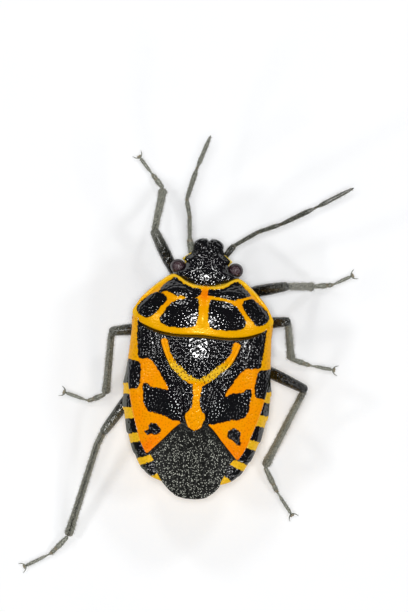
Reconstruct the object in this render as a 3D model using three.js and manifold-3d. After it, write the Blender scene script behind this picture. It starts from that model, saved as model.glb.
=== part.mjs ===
// A life-size cabbage shield bug, 8.5 mm long, standing on its six feet with its wings folded.
// Millimetres, +Z up, +Y forwards. The origin is on the floor, under the middle of the bug's bounding box.
// The body is symmetrical about x = 0. Its plan is read in a frame whose y = 0 crosses the pronotum.
import * as THREE from "three";
import { mergeVertices } from "three/addons/utils/BufferGeometryUtils.js";
import Module from "manifold-3d";

const wasm = await Module();
wasm.setup();

// Driving dimensions of the body
const HEAD_FRONT = 2.02; // y of the tips of the head's two lobes
const WINGS_END = -6.53; // y of the rear edge of the folded wings
const ABDOMEN_END = -6.12; // y of the last abdominal segment
const BELLY_CLEARANCE = 0.78; // height of the lowest part of the belly
const RIM_HEIGHT = 2.0; // height of the body's side edge at the shoulders
const CREST_HEIGHT = 3.02; // height of the back at the base of the scutellum
const SEAM = 0.1; // width of the thin cuts between the parts
const DETAIL = 0.014; // the smallest detail that the finished surfaces keep

// Driving dimensions of the limbs
const FEMUR_RADIUS = 0.25;
const TIBIA_RADIUS = 0.24;
const TARSUS_RADIUS = 0.2;
const ANTENNA_RADIUS = 0.22;
const COXA_RADIUS = 0.32;
const TARSUS_HEIGHT = 0.15; // height of a foot's centre line, below its radius, so that its sole is flat
const ANKLE_HEIGHT = 0.3;
const CLAW_LENGTH = 0.26;

// A smooth curve through stations [position, value], with the positions rising
function curve(stations) {
  const line = new THREE.CubicInterpolant(
    stations.map((station) => station[0]),
    stations.map((station) => station[1]),
    1,
  );
  return (at) => line.evaluate(at)[0];
}

// The share of the full height that a rounded back keeps at q, from 0 at the middle to 1 at the edge
const dome = (q) => Math.pow(1 - Math.pow(Math.min(Math.abs(q), 1), 2.3), 0.8);

const mix = THREE.MathUtils.lerp;

// Half widths, and heights on the middle line, along y
const bodyHalfWidth = curve([
  [WINGS_END, 0.9],
  [-6.05, 1.24],
  [-5.6, 1.64],
  [-5.0, 1.99],
  [-4.2, 2.27],
  [-3.2, 2.43],
  [-2.3, 2.38],
  [-1.3, 2.32],
  [-0.5, 2.3],
  [-0.1, 2.11],
  [0.2, 1.86],
  [0.5, 1.54],
  [0.8, 1.2],
]);
const crestHeight = curve([
  [WINGS_END, 2.08],
  [-5.4, 2.38],
  [-4.3, 2.66],
  [-3.0, 2.86],
  [-1.9, 3.0],
  [-1.2, CREST_HEIGHT],
  [-0.5, 2.93],
  [0.2, 2.6],
  [0.5, 2.42],
  [0.8, 2.24],
]);
const rimHeight = curve([
  [WINGS_END, 1.96],
  [-5.0, 2.0],
  [-3.2, 1.98],
  [-1.5, 1.98],
  [-0.5, RIM_HEIGHT],
  [0.8, 1.96],
]);
const keelHeight = curve([
  [WINGS_END, 1.8],
  [ABDOMEN_END, 1.5],
  [-5.4, 1.1],
  [-4.2, BELLY_CLEARANCE],
  [-2.6, 0.8],
  [-1.6, 0.9],
  [-0.4, 0.95],
  [0.4, 1.15],
  [0.8, 1.3],
]);
const wingHalfWidth = curve([
  [-5.15, 1.5],
  [-5.0, 1.6],
  [-4.2, 1.93],
  [-3.5, 2.14],
  [-3.0, 2.25],
  [-2.3, 2.33],
  [-1.5, 2.31],
  [-0.6, 2.26],
]);
const membraneHalfWidth = curve([
  [WINGS_END, 0.3],
  [-6.47, 0.52],
  [-6.35, 0.73],
  [-6.15, 0.9],
  [-5.8, 1.08],
  [-5.4, 1.2],
  [-5.15, 1.38],
]);
const scutellumHalfWidth = curve([
  [-4.34, 0.06],
  [-4.2, 0.2],
  [-3.95, 0.31],
  [-3.6, 0.38],
  [-3.0, 0.52],
  [-2.6, 0.71],
  [-2.2, 0.96],
  [-1.8, 1.17],
  [-1.4, 1.32],
  [-0.9, 1.38],
]);
const headHalfWidth = curve([
  [0.3, 0.62],
  [0.5, 0.8],
  [0.75, 0.94],
  [0.9, 0.92],
  [1.2, 0.78],
  [1.32, 0.84],
  [1.44, 0.72],
  [1.56, 0.56],
  [1.8, 0.51],
  [1.92, 0.42],
  [HEAD_FRONT, 0.2],
]);
const headCrest = curve([
  [0.4, 2.34],
  [0.9, 2.27],
  [1.5, 2.0],
  [HEAD_FRONT, 1.64],
]);
const headRim = curve([
  [0.4, 1.92],
  [1.1, 1.86],
  [1.5, 1.68],
  [HEAD_FRONT, 1.48],
]);
const headKeel = curve([
  [0.4, 1.32],
  [1.2, 1.26],
  [HEAD_FRONT, 1.16],
]);
const pronotumFront = curve([
  [0, 0.46],
  [0.4, 0.49],
  [0.65, 0.58],
  [0.85, 0.71],
  [1.06, 0.78],
  [1.25, 0.7],
  [1.55, 0.45],
  [1.85, 0.17],
  [2.1, -0.12],
  [2.31, -0.5],
]);
const pronotumRear = curve([
  [0, -1.16],
  [1.0, -1.18],
  [1.4, -1.12],
  [1.8, -0.99],
  [2.1, -0.84],
  [2.31, -0.62],
]);

// The body's surfaces: its back, its underside, and the underside of the shields and wings, thin at the rim
const acrossBody = (x, y) => Math.abs(x) / (bodyHalfWidth(y) + 0.02);
const back = (x, y) => mix(rimHeight(y), crestHeight(y), dome(acrossBody(x, y)));
const belly = (x, y) => mix(rimHeight(y) - 0.16, keelHeight(y), Math.pow(dome(acrossBody(x, y)), 0.78));
const underShield = (x, y) => back(x, y) - mix(0.26, 0.52, dome(acrossBody(x, y)));

// A closed solid over a plan: plan(s, t) gives x and y for s and t from 0 to 1,
// counterclockwise seen from above
function plate(columns, rows, plan, top, bottom) {
  const positions = [];
  for (const height of [bottom, top])
    for (let j = 0; j <= rows; j++)
      for (let i = 0; i <= columns; i++) {
        const [x, y] = plan(i / columns, j / rows);
        positions.push(x, y, height(x, y));
      }
  const index = [];
  const at = (layer, i, j) => (layer * (rows + 1) + j) * (columns + 1) + i;
  const quad = (a, b, c, d) => index.push(a, b, c, a, c, d);
  for (let j = 0; j < rows; j++)
    for (let i = 0; i < columns; i++) {
      quad(at(1, i, j), at(1, i + 1, j), at(1, i + 1, j + 1), at(1, i, j + 1));
      index.push(at(0, i, j), at(0, i + 1, j + 1), at(0, i + 1, j));
      index.push(at(0, i, j), at(0, i, j + 1), at(0, i + 1, j + 1));
    }
  for (let i = 0; i < columns; i++) {
    quad(at(0, i, 0), at(0, i + 1, 0), at(1, i + 1, 0), at(1, i, 0));
    quad(at(0, i + 1, rows), at(0, i, rows), at(1, i, rows), at(1, i + 1, rows));
  }
  for (let j = 0; j < rows; j++) {
    quad(at(0, columns, j), at(0, columns, j + 1), at(1, columns, j + 1), at(1, columns, j));
    quad(at(0, 0, j + 1), at(0, 0, j), at(1, 0, j), at(1, 0, j + 1));
  }
  const geometry = new THREE.BufferGeometry();
  geometry.setAttribute("position", new THREE.Float32BufferAttribute(positions, 3));
  geometry.setIndex(index);
  return solid(geometry);
}

// Any closed geometry as a solid that can be joined and cut
function solid(geometry) {
  const bare = geometry.clone();
  bare.deleteAttribute("normal");
  bare.deleteAttribute("uv");
  const merged = mergeVertices(bare, 1e-4);
  return new wasm.Manifold(
    new wasm.Mesh({
      numProp: 3,
      vertProperties: merged.attributes.position.array,
      triVerts: new Uint32Array(merged.index.array),
    }),
  );
}

// Only the largest body is kept, so that no loose scrap of a cut stays behind
const largest = (cut) => cut.decompose().sort((a, b) => b.volume() - a.volume())[0];
const join = (...solids) => solids.reduce((whole, piece) => whole.add(piece));
const carve = (piece, ...cutters) => largest(cutters.reduce((left, cutter) => left.subtract(cutter), piece));

// A round ball, stretched along the axes
const ball = (centre, rx, ry = rx, rz = rx, detail = 12) =>
  solid(
    new THREE.SphereGeometry(1, detail, Math.round(detail * 0.7))
      .scale(rx, ry, rz)
      .translate(...centre),
  );

// A round tube with changing thickness: each station is its centre's x, y, z and the radius there
function tube(stations, sides = 10) {
  const centres = stations.map(([x, y, z]) => new THREE.Vector3(x, y, z));
  const positions = [];
  const up = new THREE.Vector3(0, 0, 1);
  stations.forEach((station, k) => {
    const before = centres[Math.max(k - 1, 0)];
    const after = centres[Math.min(k + 1, centres.length - 1)];
    const along = after.clone().sub(before).normalize();
    const across = new THREE.Vector3().crossVectors(along, up).normalize();
    const over = new THREE.Vector3().crossVectors(across, along);
    for (let i = 0; i < sides; i++) {
      const angle = ((i + 0.5) / sides) * 2 * Math.PI;
      const point = centres[k].clone();
      point.addScaledVector(across, station[3] * Math.cos(angle));
      point.addScaledVector(over, station[3] * Math.sin(angle));
      positions.push(...point);
    }
  });
  const index = [];
  const last = (stations.length - 1) * sides;
  for (let ring = 0; ring < last; ring += sides)
    for (let i = 0; i < sides; i++) {
      const [a, b] = [ring + i, ring + ((i + 1) % sides)];
      index.push(a, b + sides, b, a, a + sides, b + sides);
    }
  for (let i = 1; i < sides - 1; i++) index.push(0, i, i + 1, last, last + i + 1, last + i);
  const geometry = new THREE.BufferGeometry();
  geometry.setAttribute("position", new THREE.Float32BufferAttribute(positions, 3));
  geometry.setIndex(index);
  return solid(geometry);
}

// Stations from one point to the next: profile lists [share of the way, radius]
const stretch = (from, to, profile) =>
  profile.map(([share, radius]) => [...from.map((value, axis) => mix(value, to[axis], share)), radius]);

// A rounded end past a point, going on in the direction from an earlier point
function roundEnd(from, end, radius) {
  const way = new THREE.Vector3(...end).sub(new THREE.Vector3(...from)).normalize();
  return [0.35, 0.75, 0.97].map((share) => [
    ...new THREE.Vector3(...end).addScaledVector(way, radius * share),
    radius * Math.sqrt(1 - share * share),
  ]);
}

// The pronotum is a plate between its front and rear edges, and is closer set near its rounded shoulders
const SHOULDER = 2.31;
function pronotumForm(grow) {
  const plan = (s, t) => {
    const x = SHOULDER * Math.sin((s - 0.5) * Math.PI);
    const front = pronotumFront(Math.abs(x)) + grow;
    const rear = pronotumRear(Math.abs(x)) - grow;
    return [x * (1 + grow / SHOULDER), mix(rear, front, t)];
  };
  const collar = (x, y) => {
    const inFromFront = pronotumFront(Math.abs(x)) - y;
    return 0.06 * Math.exp(-Math.pow(inFromFront / 0.14, 2));
  };
  return plate(
    26,
    12,
    plan,
    (x, y) => back(x, y) + collar(x, y) + grow,
    (x, y) => underShield(x, y) - grow,
  );
}

// A plate whose plan is, at each y from rear to front, a stretch between two edges,
// with closer rows at the rear
const band = (columns, rows, rear, front, left, right, top, bottom) =>
  plate(
    columns,
    rows,
    (s, t) => {
      const y = mix(rear, front, Math.pow(t, 1.35));
      return [mix(left(y), right(y), s), y];
    },
    top,
    bottom,
  );

// The scutellum is a long triangle, a little higher than the wings on each side of it
const SCUTELLUM_TIP = -4.34;
const SCUTELLUM_RISE = 0.05;
const scutellumForm = (grow) =>
  band(
    12,
    22,
    SCUTELLUM_TIP - grow,
    -0.9,
    (y) => -scutellumHalfWidth(y) - grow,
    (y) => scutellumHalfWidth(y) + grow,
    (x, y) => back(x, y) + SCUTELLUM_RISE + grow,
    (x, y) => underShield(x, y) - grow,
  );

// Each wing's leathery part ends in a slanting suture, from beside the scutellum's tip out to its own tip
const CORIUM_TIP = -5.13;
const suture = (y) => mix(1.46, 0.45, (y - CORIUM_TIP) / (-4.04 - CORIUM_TIP));
const coriumForm = (side, grow) => {
  const inner = (y) => Math.max(0.1, suture(y)) - grow;
  const outer = (y) => wingHalfWidth(y) + grow;
  return band(
    10,
    24,
    CORIUM_TIP - grow,
    -0.6,
    (y) => (side < 0 ? -outer(y) : inner(y)),
    (y) => (side < 0 ? -inner(y) : outer(y)),
    (x, y) => back(x, y) + grow,
    (x, y) => underShield(x, y) - grow,
  );
};

// Veins run along the membranes as low ridges that spread towards the rear edge
const VEINS = 7;
const membraneTop = (x, y) => {
  const spread = (x / (0.35 + membraneHalfWidth(Math.min(y, -5.15)))) * VEINS;
  const fade = THREE.MathUtils.smoothstep(-y, 4.5, 5.0) * (1 - THREE.MathUtils.smoothstep(-y, 6.2, 6.45));
  return back(x, y) - 0.02 + 0.03 * fade * Math.cos(spread * Math.PI);
};
const membraneEdge = (y) => (y < -5.15 ? membraneHalfWidth(y) : suture(y) - SEAM * 1.4);
const MEMBRANE_ROOT = -4.0;
// The left membrane lies on top, so its edge crosses to the right, and the right one shows outside it
const overlapEdge = (y) =>
  Math.min(mix(0.14, 0.9, THREE.MathUtils.smoothstep(-y, 4.1, 6.4)), membraneEdge(y));
const membraneForm = (left, right, grow, columns) =>
  band(
    columns,
    20,
    WINGS_END - grow,
    MEMBRANE_ROOT,
    (y) => left(y) - grow,
    (y) => right(y) + grow,
    (x, y) => membraneTop(x, y) + grow,
    (x, y) => underShield(x, y) - grow,
  );

// The abdomen is the whole rear body, with a tray cut out of its back for the wings and the scutellum
const SEGMENTS = [-2.95, -3.75, -4.5, -5.15, -5.65];
const sternites = (y) =>
  SEGMENTS.reduce((sum, at) => sum + 0.04 * Math.exp(-Math.pow((y - at) / 0.09, 2)), 0);
const ABDOMEN_FRONT = -2.15;
const TAIL_ROUNDING = 0.4;
const tail = (y) => {
  const past = Math.max(0, (ABDOMEN_END + TAIL_ROUNDING - y) / TAIL_ROUNDING);
  return bodyHalfWidth(y) * Math.max(0.45, Math.sqrt(Math.max(0, 1 - Math.pow(past, 3))));
};
const abdomenForm = () =>
  band(
    18,
    30,
    ABDOMEN_END,
    ABDOMEN_FRONT,
    (y) => -tail(y),
    tail,
    back,
    (x, y) => belly(x, y) + sternites(y) * dome(acrossBody(x, y)),
  );
const trayForm = () =>
  band(
    20,
    20,
    -7,
    -0.3,
    (y) => -SEAM - Math.max(y < -5.15 ? membraneHalfWidth(y) : wingHalfWidth(y), 0),
    (y) => SEAM + Math.max(y < -5.15 ? membraneHalfWidth(y) : wingHalfWidth(y), 0),
    () => 4,
    (x, y) => underShield(x, y) - SEAM,
  );

// The thorax is the front body's underside, in under the pronotum and the bases of the wings
const THORAX_FRONT = 0.5;
const thoraxForm = () =>
  band(
    18,
    22,
    ABDOMEN_FRONT + SEAM,
    THORAX_FRONT,
    (y) => -bodyHalfWidth(y) + 0.16,
    (y) => bodyHalfWidth(y) - 0.16,
    (x, y) => underShield(x, y) - SEAM,
    belly,
  );

// The head slopes down to two lobes that meet in a notch, with a low ridge along its middle
const acrossHead = (x, y) => Math.abs(x) / (headHalfWidth(y) + 0.02);
const headForm = (grow) =>
  band(
    16,
    22,
    0.42 - grow,
    HEAD_FRONT + grow,
    (y) => -headHalfWidth(y) - grow,
    (y) => headHalfWidth(y) + grow,
    (x, y) => mix(headRim(y), headCrest(y), dome(acrossHead(x, y))) + grow,
    (x, y) => mix(headRim(y) - 0.1, headKeel(y), dome(acrossHead(x, y))) - grow,
  );
const notch = () =>
  solid(
    new THREE.CylinderGeometry(0.14, 0.14, 2, 3).rotateX(Math.PI / 2).translate(0.01, HEAD_FRONT + 0.02, 1.6),
  );

const EYE_CENTRE = [0.93, 1.02, 1.94];
const eyeForm = (side) => ball([side * EYE_CENTRE[0], EYE_CENTRE[1], EYE_CENTRE[2]], 0.28, 0.26, 0.26, 16);

// Five antennal segments, each a spindle between two of the points, from the socket to the tip
const ANTENNAE = {
  left: [
    [-0.5, 1.36, 1.6],
    [-0.63, 1.93, 1.82],
    [-0.69, 2.68, 2.25],
    [-0.83, 3.22, 2.5],
    [-0.57, 4.26, 2.95],
    [-0.21, 5.34, 3.3],
  ],
  right: [
    [0.5, 1.36, 1.6],
    [0.82, 1.83, 1.72],
    [1.58, 2.35, 1.95],
    [2.3, 2.65, 2.1],
    [3.39, 3.28, 2.35],
    [4.58, 4.02, 2.45],
  ],
};
const SPINDLE = [
  [0, 0.74],
  [0.2, 1],
  [0.6, 1.08],
  [0.9, 1],
];
const LAST_SPINDLE = [
  [0, 0.74],
  [0.2, 1.02],
  [0.5, 1.08],
  [0.75, 0.85],
  [0.93, 0.45],
  [1, 0.14],
];
function antennaForm(points) {
  const stations = points.slice(1).flatMap((end, i) => {
    const profile = i === points.length - 2 ? LAST_SPINDLE : SPINDLE;
    return stretch(points[i], end, profile.map(([share, radius]) => [share, radius * ANTENNA_RADIUS]));
  });
  return tube(stations, 8);
}

// The beak folds back under the head and lies in a groove between the legs
const BEAK = [
  [0, 1.7, 1.1],
  [0, 0.9, 1.02],
  [0, 0.1, 0.86],
  [0, -0.75, 0.72],
  [0, -1.35, 0.7],
];
const BEAK_RADII = [0.2, 0.24, 0.22, 0.2, 0.1];
const beakForm = (grow) => tube(BEAK.map((at, i) => [...at, BEAK_RADII[i] + grow]), 8);

// Each leg by its joints: the hip on the thorax, the end of the trochanter, knee, ankle, instep and toe
const LEGS = {
  fore_left: {
    hip: [-0.62, 0.2, 0.84],
    trochanter: [-0.88, 0.52, 0.74],
    knee: [-1.81, 2.12, 1.0],
    ankle: [-1.62, 3.52],
    instep: [-1.99, 3.93],
    toe: [-2.45, 4.46],
  },
  fore_right: {
    hip: [0.62, 0.2, 0.84],
    trochanter: [1.0, 0.24, 0.78],
    knee: [2.64, 0.65, 1.5],
    ankle: [3.52, 0.71],
    instep: [4.13, 0.81],
    toe: [4.72, 1.14],
  },
  middle_left: {
    hip: [-0.68, -0.85, 0.8],
    trochanter: [-1.05, -0.92, 0.68],
    knee: [-2.95, -1.27, 0.98],
    ankle: [-2.97, -3.32],
    instep: [-3.51, -3.59],
    toe: [-4.28, -3.38],
  },
  middle_right: {
    hip: [0.68, -0.85, 0.8],
    trochanter: [1.05, -0.76, 0.72],
    knee: [2.78, -0.5, 1.72],
    ankle: [2.98, -1.7],
    instep: [3.575, -1.86],
    toe: [4.35, -1.95],
  },
  hind_left: {
    hip: [-0.78, -1.72, 0.8],
    trochanter: [-1.3, -1.95, 0.68],
    knee: [-2.96, -4.58, 0.98],
    ankle: [-3.8, -8.05],
    instep: [-4.335, -8.65],
    toe: [-5.13, -9.12],
  },
  hind_right: {
    hip: [0.78, -1.72, 0.8],
    trochanter: [1.25, -1.78, 0.72],
    knee: [3.5, -2.66, 2.0],
    ankle: [2.43, -5.28],
    instep: [2.85, -6.05],
    toe: [3.375, -6.75],
  },
};

const FLOOR_CUT = new THREE.BoxGeometry(40, 40, 2).translate(0, 0, -1);

// The femur starts from the hip's ball with the short trochanter and ends in a rounded knee
function femurForm(leg) {
  const start = stretch(leg.hip, leg.trochanter, [
    [0.3, FEMUR_RADIUS * 0.85],
    [0.9, FEMUR_RADIUS * 0.95],
  ]);
  const shaft = stretch(leg.trochanter, leg.knee, [
    [0.12, FEMUR_RADIUS * 0.97],
    [0.4, FEMUR_RADIUS * 1.1],
    [0.75, FEMUR_RADIUS * 1.08],
    [1, FEMUR_RADIUS * 0.98],
  ]);
  return tube([...start, ...shaft, ...roundEnd(leg.trochanter, leg.knee, FEMUR_RADIUS * 0.98)]);
}

// The tibia widens towards the ankle
function tibiaForm(leg) {
  const ankle = [...leg.ankle, ANKLE_HEIGHT];
  const shaft = stretch(leg.knee, ankle, [
    [0.02, TIBIA_RADIUS],
    [0.5, TIBIA_RADIUS * 0.98],
    [0.9, TIBIA_RADIUS * 1.12],
    [1, TIBIA_RADIUS],
  ]);
  return tube([...shaft, ...roundEnd(leg.knee, ankle, TIBIA_RADIUS)]);
}

// Two long tarsal segments lie on the floor and end in a pair of claws that spread to the sides
function tarsusForm(leg) {
  const ankle = [...leg.ankle, ANKLE_HEIGHT];
  const instep = [...leg.instep, TARSUS_HEIGHT + 0.02];
  const toe = [...leg.toe, TARSUS_HEIGHT];
  const heading = Math.atan2(leg.toe[1] - leg.instep[1], leg.toe[0] - leg.instep[0]);
  const claws = [-1, 1].map((side) => {
    const angle = heading + side * 0.72;
    const tip = [toe[0] + CLAW_LENGTH * Math.cos(angle), toe[1] + CLAW_LENGTH * Math.sin(angle), 0.06];
    return tube(
      [[...toe, 0.1], [mix(toe[0], tip[0], 0.6), mix(toe[1], tip[1], 0.6), 0.1, 0.07], [...tip, 0.03]],
      6,
    );
  });
  const first = stretch(ankle, instep, [
    [0, TARSUS_RADIUS * 0.9],
    [0.7, TARSUS_RADIUS * 1.05],
    [1, TARSUS_RADIUS * 0.92],
  ]);
  const last = stretch(instep, toe, [
    [0.3, TARSUS_RADIUS * 0.95],
    [0.75, TARSUS_RADIUS],
    [1, TARSUS_RADIUS * 0.75],
  ]);
  const foot = tube([...first, ...last, ...roundEnd(instep, toe, TARSUS_RADIUS * 0.75)]);
  return join(foot, ...claws).subtract(solid(FLOOR_CUT));
}

// Colours and finish of the real shell, legs and feelers
const MATERIALS = {
  black_cuticle: new THREE.MeshStandardMaterial({ color: 0x0d0e12, roughness: 0.3, metalness: 0 }),
  orange_cuticle: new THREE.MeshStandardMaterial({ color: 0xf08c0a, roughness: 0.4, metalness: 0 }),
  membrane: new THREE.MeshStandardMaterial({ color: 0x23231f, roughness: 0.45, metalness: 0 }),
  eye: new THREE.MeshStandardMaterial({ color: 0x24141a, roughness: 0.2, metalness: 0 }),
  limb: new THREE.MeshStandardMaterial({ color: 0x4a4c42, roughness: 0.55, metalness: 0 }),
};

const bug = new THREE.Group();
function add(name, shape, material) {
  const result = largest(largest(shape).simplify(DETAIL));
  const { vertProperties, triVerts } = result.getMesh();
  const geometry = new THREE.BufferGeometry();
  geometry.setAttribute("position", new THREE.BufferAttribute(vertProperties, 3));
  geometry.setIndex(new THREE.BufferAttribute(triVerts, 1));
  geometry.computeVertexNormals();
  const mesh = new THREE.Mesh(geometry, MATERIALS[material]);
  mesh.name = name;
  bug.add(mesh);
  return result;
}

// Shields and wings
const grownPronotum = pronotumForm(SEAM);
const grownScutellum = scutellumForm(SEAM);
add("pronotum", pronotumForm(0), "orange_cuticle");
add("scutellum", carve(scutellumForm(0), grownPronotum), "black_cuticle");
const grownCoria = [-1, 1].map((side) => coriumForm(side, SEAM));
add("corium_left", carve(coriumForm(-1, 0), grownPronotum, grownScutellum), "orange_cuticle");
add("corium_right", carve(coriumForm(1, 0), grownPronotum, grownScutellum), "orange_cuticle");
const wingCutters = [grownScutellum, ...grownCoria];
add(
  "membrane_left",
  carve(membraneForm((y) => -membraneEdge(y), overlapEdge, 0, 16), ...wingCutters),
  "membrane",
);
const grownLeftMembrane = membraneForm((y) => -membraneEdge(y), overlapEdge, SEAM, 16);
add(
  "membrane_right",
  carve(membraneForm((y) => overlapEdge(y) - 0.05, membraneEdge, 0, 8), ...wingCutters, grownLeftMembrane),
  "membrane",
);

// Head and what it carries
const grownHead = headForm(SEAM);
add("head", carve(headForm(0), grownPronotum, notch()), "black_cuticle");
add("eye_left", carve(eyeForm(-1), grownHead, grownPronotum), "eye");
add("eye_right", carve(eyeForm(1), grownHead, grownPronotum), "eye");
add("antenna_left", carve(antennaForm(ANTENNAE.left), grownHead), "limb");
add("antenna_right", carve(antennaForm(ANTENNAE.right), grownHead), "limb");
add("beak", carve(beakForm(0), grownHead), "limb");

// Underbody: sockets for the hips and a groove for the beak
const legs = Object.entries(LEGS);
const hipSockets = legs.map(([, leg]) => ball(leg.hip, COXA_RADIUS + SEAM));
const grownFemora = legs.map(([, leg]) => {
  const radius = FEMUR_RADIUS + SEAM;
  return tube([...stretch(leg.hip, leg.trochanter, [[0.5, radius], [1, radius]]), [...leg.knee, radius]], 8);
});
add("thorax", carve(thoraxForm(), beakForm(SEAM), grownHead, ...hipSockets, ...grownFemora), "black_cuticle");
add("abdomen", carve(abdomenForm(), trayForm()), "orange_cuticle");

// Legs
for (const [name, leg] of legs) {
  const hip = ball(leg.hip, COXA_RADIUS + SEAM);
  const knee = ball(leg.knee, FEMUR_RADIUS + SEAM);
  const ankle = ball([...leg.ankle, ANKLE_HEIGHT], TIBIA_RADIUS + SEAM);
  add(`coxa_${name}`, ball(leg.hip, COXA_RADIUS), "limb");
  add(`femur_${name}`, carve(femurForm(leg), hip), "limb");
  add(`tibia_${name}`, carve(tibiaForm(leg), knee), "limb");
  add(`tarsus_${name}`, carve(tarsusForm(leg), ankle), "limb");
}

// The whole stands on the floor, with the origin under the middle of its box
const box = new THREE.Box3().setFromObject(bug);
const middle = box.getCenter(new THREE.Vector3());
bug.position.set(-middle.x, -middle.y, -box.min.z);

const part = new THREE.Group();
part.add(bug);
export default part;
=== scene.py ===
# %% [markdown]
# # A cabbage shield bug, life-size
#
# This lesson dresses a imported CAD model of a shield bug, 8.5 mm long, for a picture taken from straight
# above. The CAD solids hold the true places and sizes. Here each one gets its real surface: a pitted, glossy
# shell with its orange and black markings, veined wing membranes, and legs and feelers as thin as the real
# ones, with hairs.
#
# The measures below are in millimetres in the body's own frame, where x = 0 is the middle line of the body,
# y runs forwards and z is the height over the floor. One function turns them into metres in the row's frame.

# %% Load the frame
import math

import bpy
import numpy as np
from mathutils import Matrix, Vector


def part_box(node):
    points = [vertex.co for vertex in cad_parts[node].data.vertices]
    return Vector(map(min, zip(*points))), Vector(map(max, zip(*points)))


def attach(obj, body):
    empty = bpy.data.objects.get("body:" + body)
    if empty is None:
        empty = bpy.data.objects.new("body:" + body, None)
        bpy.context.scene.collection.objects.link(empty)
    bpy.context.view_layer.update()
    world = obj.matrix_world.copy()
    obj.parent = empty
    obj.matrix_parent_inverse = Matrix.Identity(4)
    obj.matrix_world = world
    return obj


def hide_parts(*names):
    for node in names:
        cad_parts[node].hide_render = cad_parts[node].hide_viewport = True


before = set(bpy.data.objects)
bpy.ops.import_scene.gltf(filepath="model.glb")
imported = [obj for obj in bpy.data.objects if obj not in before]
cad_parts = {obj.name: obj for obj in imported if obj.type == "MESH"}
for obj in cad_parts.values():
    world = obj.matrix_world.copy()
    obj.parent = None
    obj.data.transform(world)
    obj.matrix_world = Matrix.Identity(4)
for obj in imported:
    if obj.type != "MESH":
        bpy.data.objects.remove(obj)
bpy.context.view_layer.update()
MM = 0.001
low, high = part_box("pronotum")
PRONOTUM_FRONT = 0.78
BODY_ORIGIN = np.array([(low.x + high.x) / 2, high.y - PRONOTUM_FRONT * MM, 0.0])
SIDES = {"left": -1, "right": 1}
print("the body's own frame starts at", (BODY_ORIGIN / MM).round(3), "mm")

# %% [markdown]
# ## Smooth curves through a few measured stations
#
# An insect's outline could be drawn as a Bezier curve by hand, but numbers measured in a picture are
# easier to check as stations: pairs of a position along the body and the half width or height there. A
# cubic runs through them, with its slope at each station taken from the two neighbours, so a whole array
# of positions is answered at once.


# %% Curves through stations
def curve(*stations):
    """A smooth line through stations (position, value): the cubic between two with the slopes there."""
    at, value = np.array(sorted(stations), float).T
    slope = np.gradient(value, at)

    def line(position):
        """The value at each position, held level past the ends."""
        position = np.clip(position, at[0], at[-1])
        i = np.clip(np.searchsorted(at, position) - 1, 0, len(at) - 2)
        step = at[i + 1] - at[i]
        t = (position - at[i]) / step
        near = value[i] * (1 + 2 * t) * (1 - t) ** 2 + step * slope[i] * t * (1 - t) ** 2
        return near + value[i + 1] * (3 - 2 * t) * t**2 + step * slope[i + 1] * (t - 1) * t**2

    return line


def mix(a, b, share):
    """a where share is 0, b where it is 1."""
    return a + (b - a) * share


def smooth(low, high, value):
    """0 below low and 1 above high, with an S-shaped rise between."""
    t = np.clip((value - low) / (high - low), 0, 1)
    return t * t * (3 - 2 * t)


def bump(value, width):
    """A bell of height 1 and the given half width."""
    return np.exp(-((value / width) ** 2))


def oval(x, y, middle, radii):
    """A bell of height 1 over an oval with the given middle and half widths."""
    return np.exp(-(((x - middle[0]) / radii[0]) ** 2) - ((y - middle[1]) / radii[1]) ** 2)


print("a quarter of the way up the S-shaped rise:", smooth(0, 1, 0.25).round(3))

# %% The body's measured outlines and heights
WINGS_END = -6.53
ABDOMEN_END = -6.12
FILM_START = -5.15  # behind it the outline of the folded wings is that of their film
HEAD_FRONT = 2.02
body_half_width = curve(
    (WINGS_END, 0.9), (-6.05, 1.24), (-5.6, 1.64), (-5.0, 1.99), (-4.2, 2.27), (-3.2, 2.43), (-2.3, 2.38),
    (-1.3, 2.32), (-0.5, 2.3), (-0.1, 2.11), (0.2, 1.86), (0.5, 1.54), (0.8, 1.2),
)
crest_height = curve(
    (WINGS_END, 2.08), (-5.4, 2.38), (-4.3, 2.66), (-3.0, 2.86), (-1.9, 3.0), (-1.2, 3.02), (-0.5, 2.93),
    (0.2, 2.6), (0.5, 2.42), (0.8, 2.24),
)
rim_height = curve((WINGS_END, 1.96), (-5.0, 2.0), (-3.2, 1.98), (-1.5, 1.98), (-0.5, 2.0), (0.8, 1.96))
keel_height = curve(
    (WINGS_END, 1.8), (ABDOMEN_END, 1.5), (-5.4, 1.1), (-4.2, 0.78), (-2.6, 0.8), (-1.6, 0.9), (-0.4, 0.95),
    (0.4, 1.15), (0.8, 1.3),
)
wing_half_width = curve(
    (FILM_START, 1.5), (-5.0, 1.6), (-4.2, 1.93), (-3.5, 2.14), (-3.0, 2.25), (-2.3, 2.33), (-1.5, 2.31),
    (-0.6, 2.26),
)
membrane_half_width = curve(
    (WINGS_END, 0.16), (-6.49, 0.38), (-6.38, 0.6), (-6.18, 0.83), (-5.8, 1.07), (-5.4, 1.21),
    (FILM_START, 1.38),
)
scutellum_half_width = curve(
    (-4.34, 0.06), (-4.2, 0.2), (-3.95, 0.31), (-3.6, 0.38), (-3.0, 0.52), (-2.6, 0.71), (-2.2, 0.96),
    (-1.8, 1.17), (-1.4, 1.32), (-0.9, 1.38),
)
pronotum_rear = curve((0, -1.16), (1.0, -1.18), (1.4, -1.12), (1.8, -0.99), (2.1, -0.84), (2.31, -0.62))
BULGE = 0.8  # how full the back is between its middle line and its side edges
TUCK_DEPTH = 0.26


def dome(q):
    """The share of the full height left at q, from 1 on the middle line (q = 0) to 0 at the side (q = 1)."""
    return (1 - np.clip(np.abs(q), 0, 1) ** 2.3) ** BULGE


def from_edge(half_width, x, y):
    """How many millimetres in from the side edge a point lies, with half_width a curve along the body."""
    return half_width(y) - np.abs(x)


def across_body(x, y):
    """How far out a point lies: 0 on the middle line, almost 1 at the side edge."""
    return np.abs(x) / (body_half_width(y) + 0.02)


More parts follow.
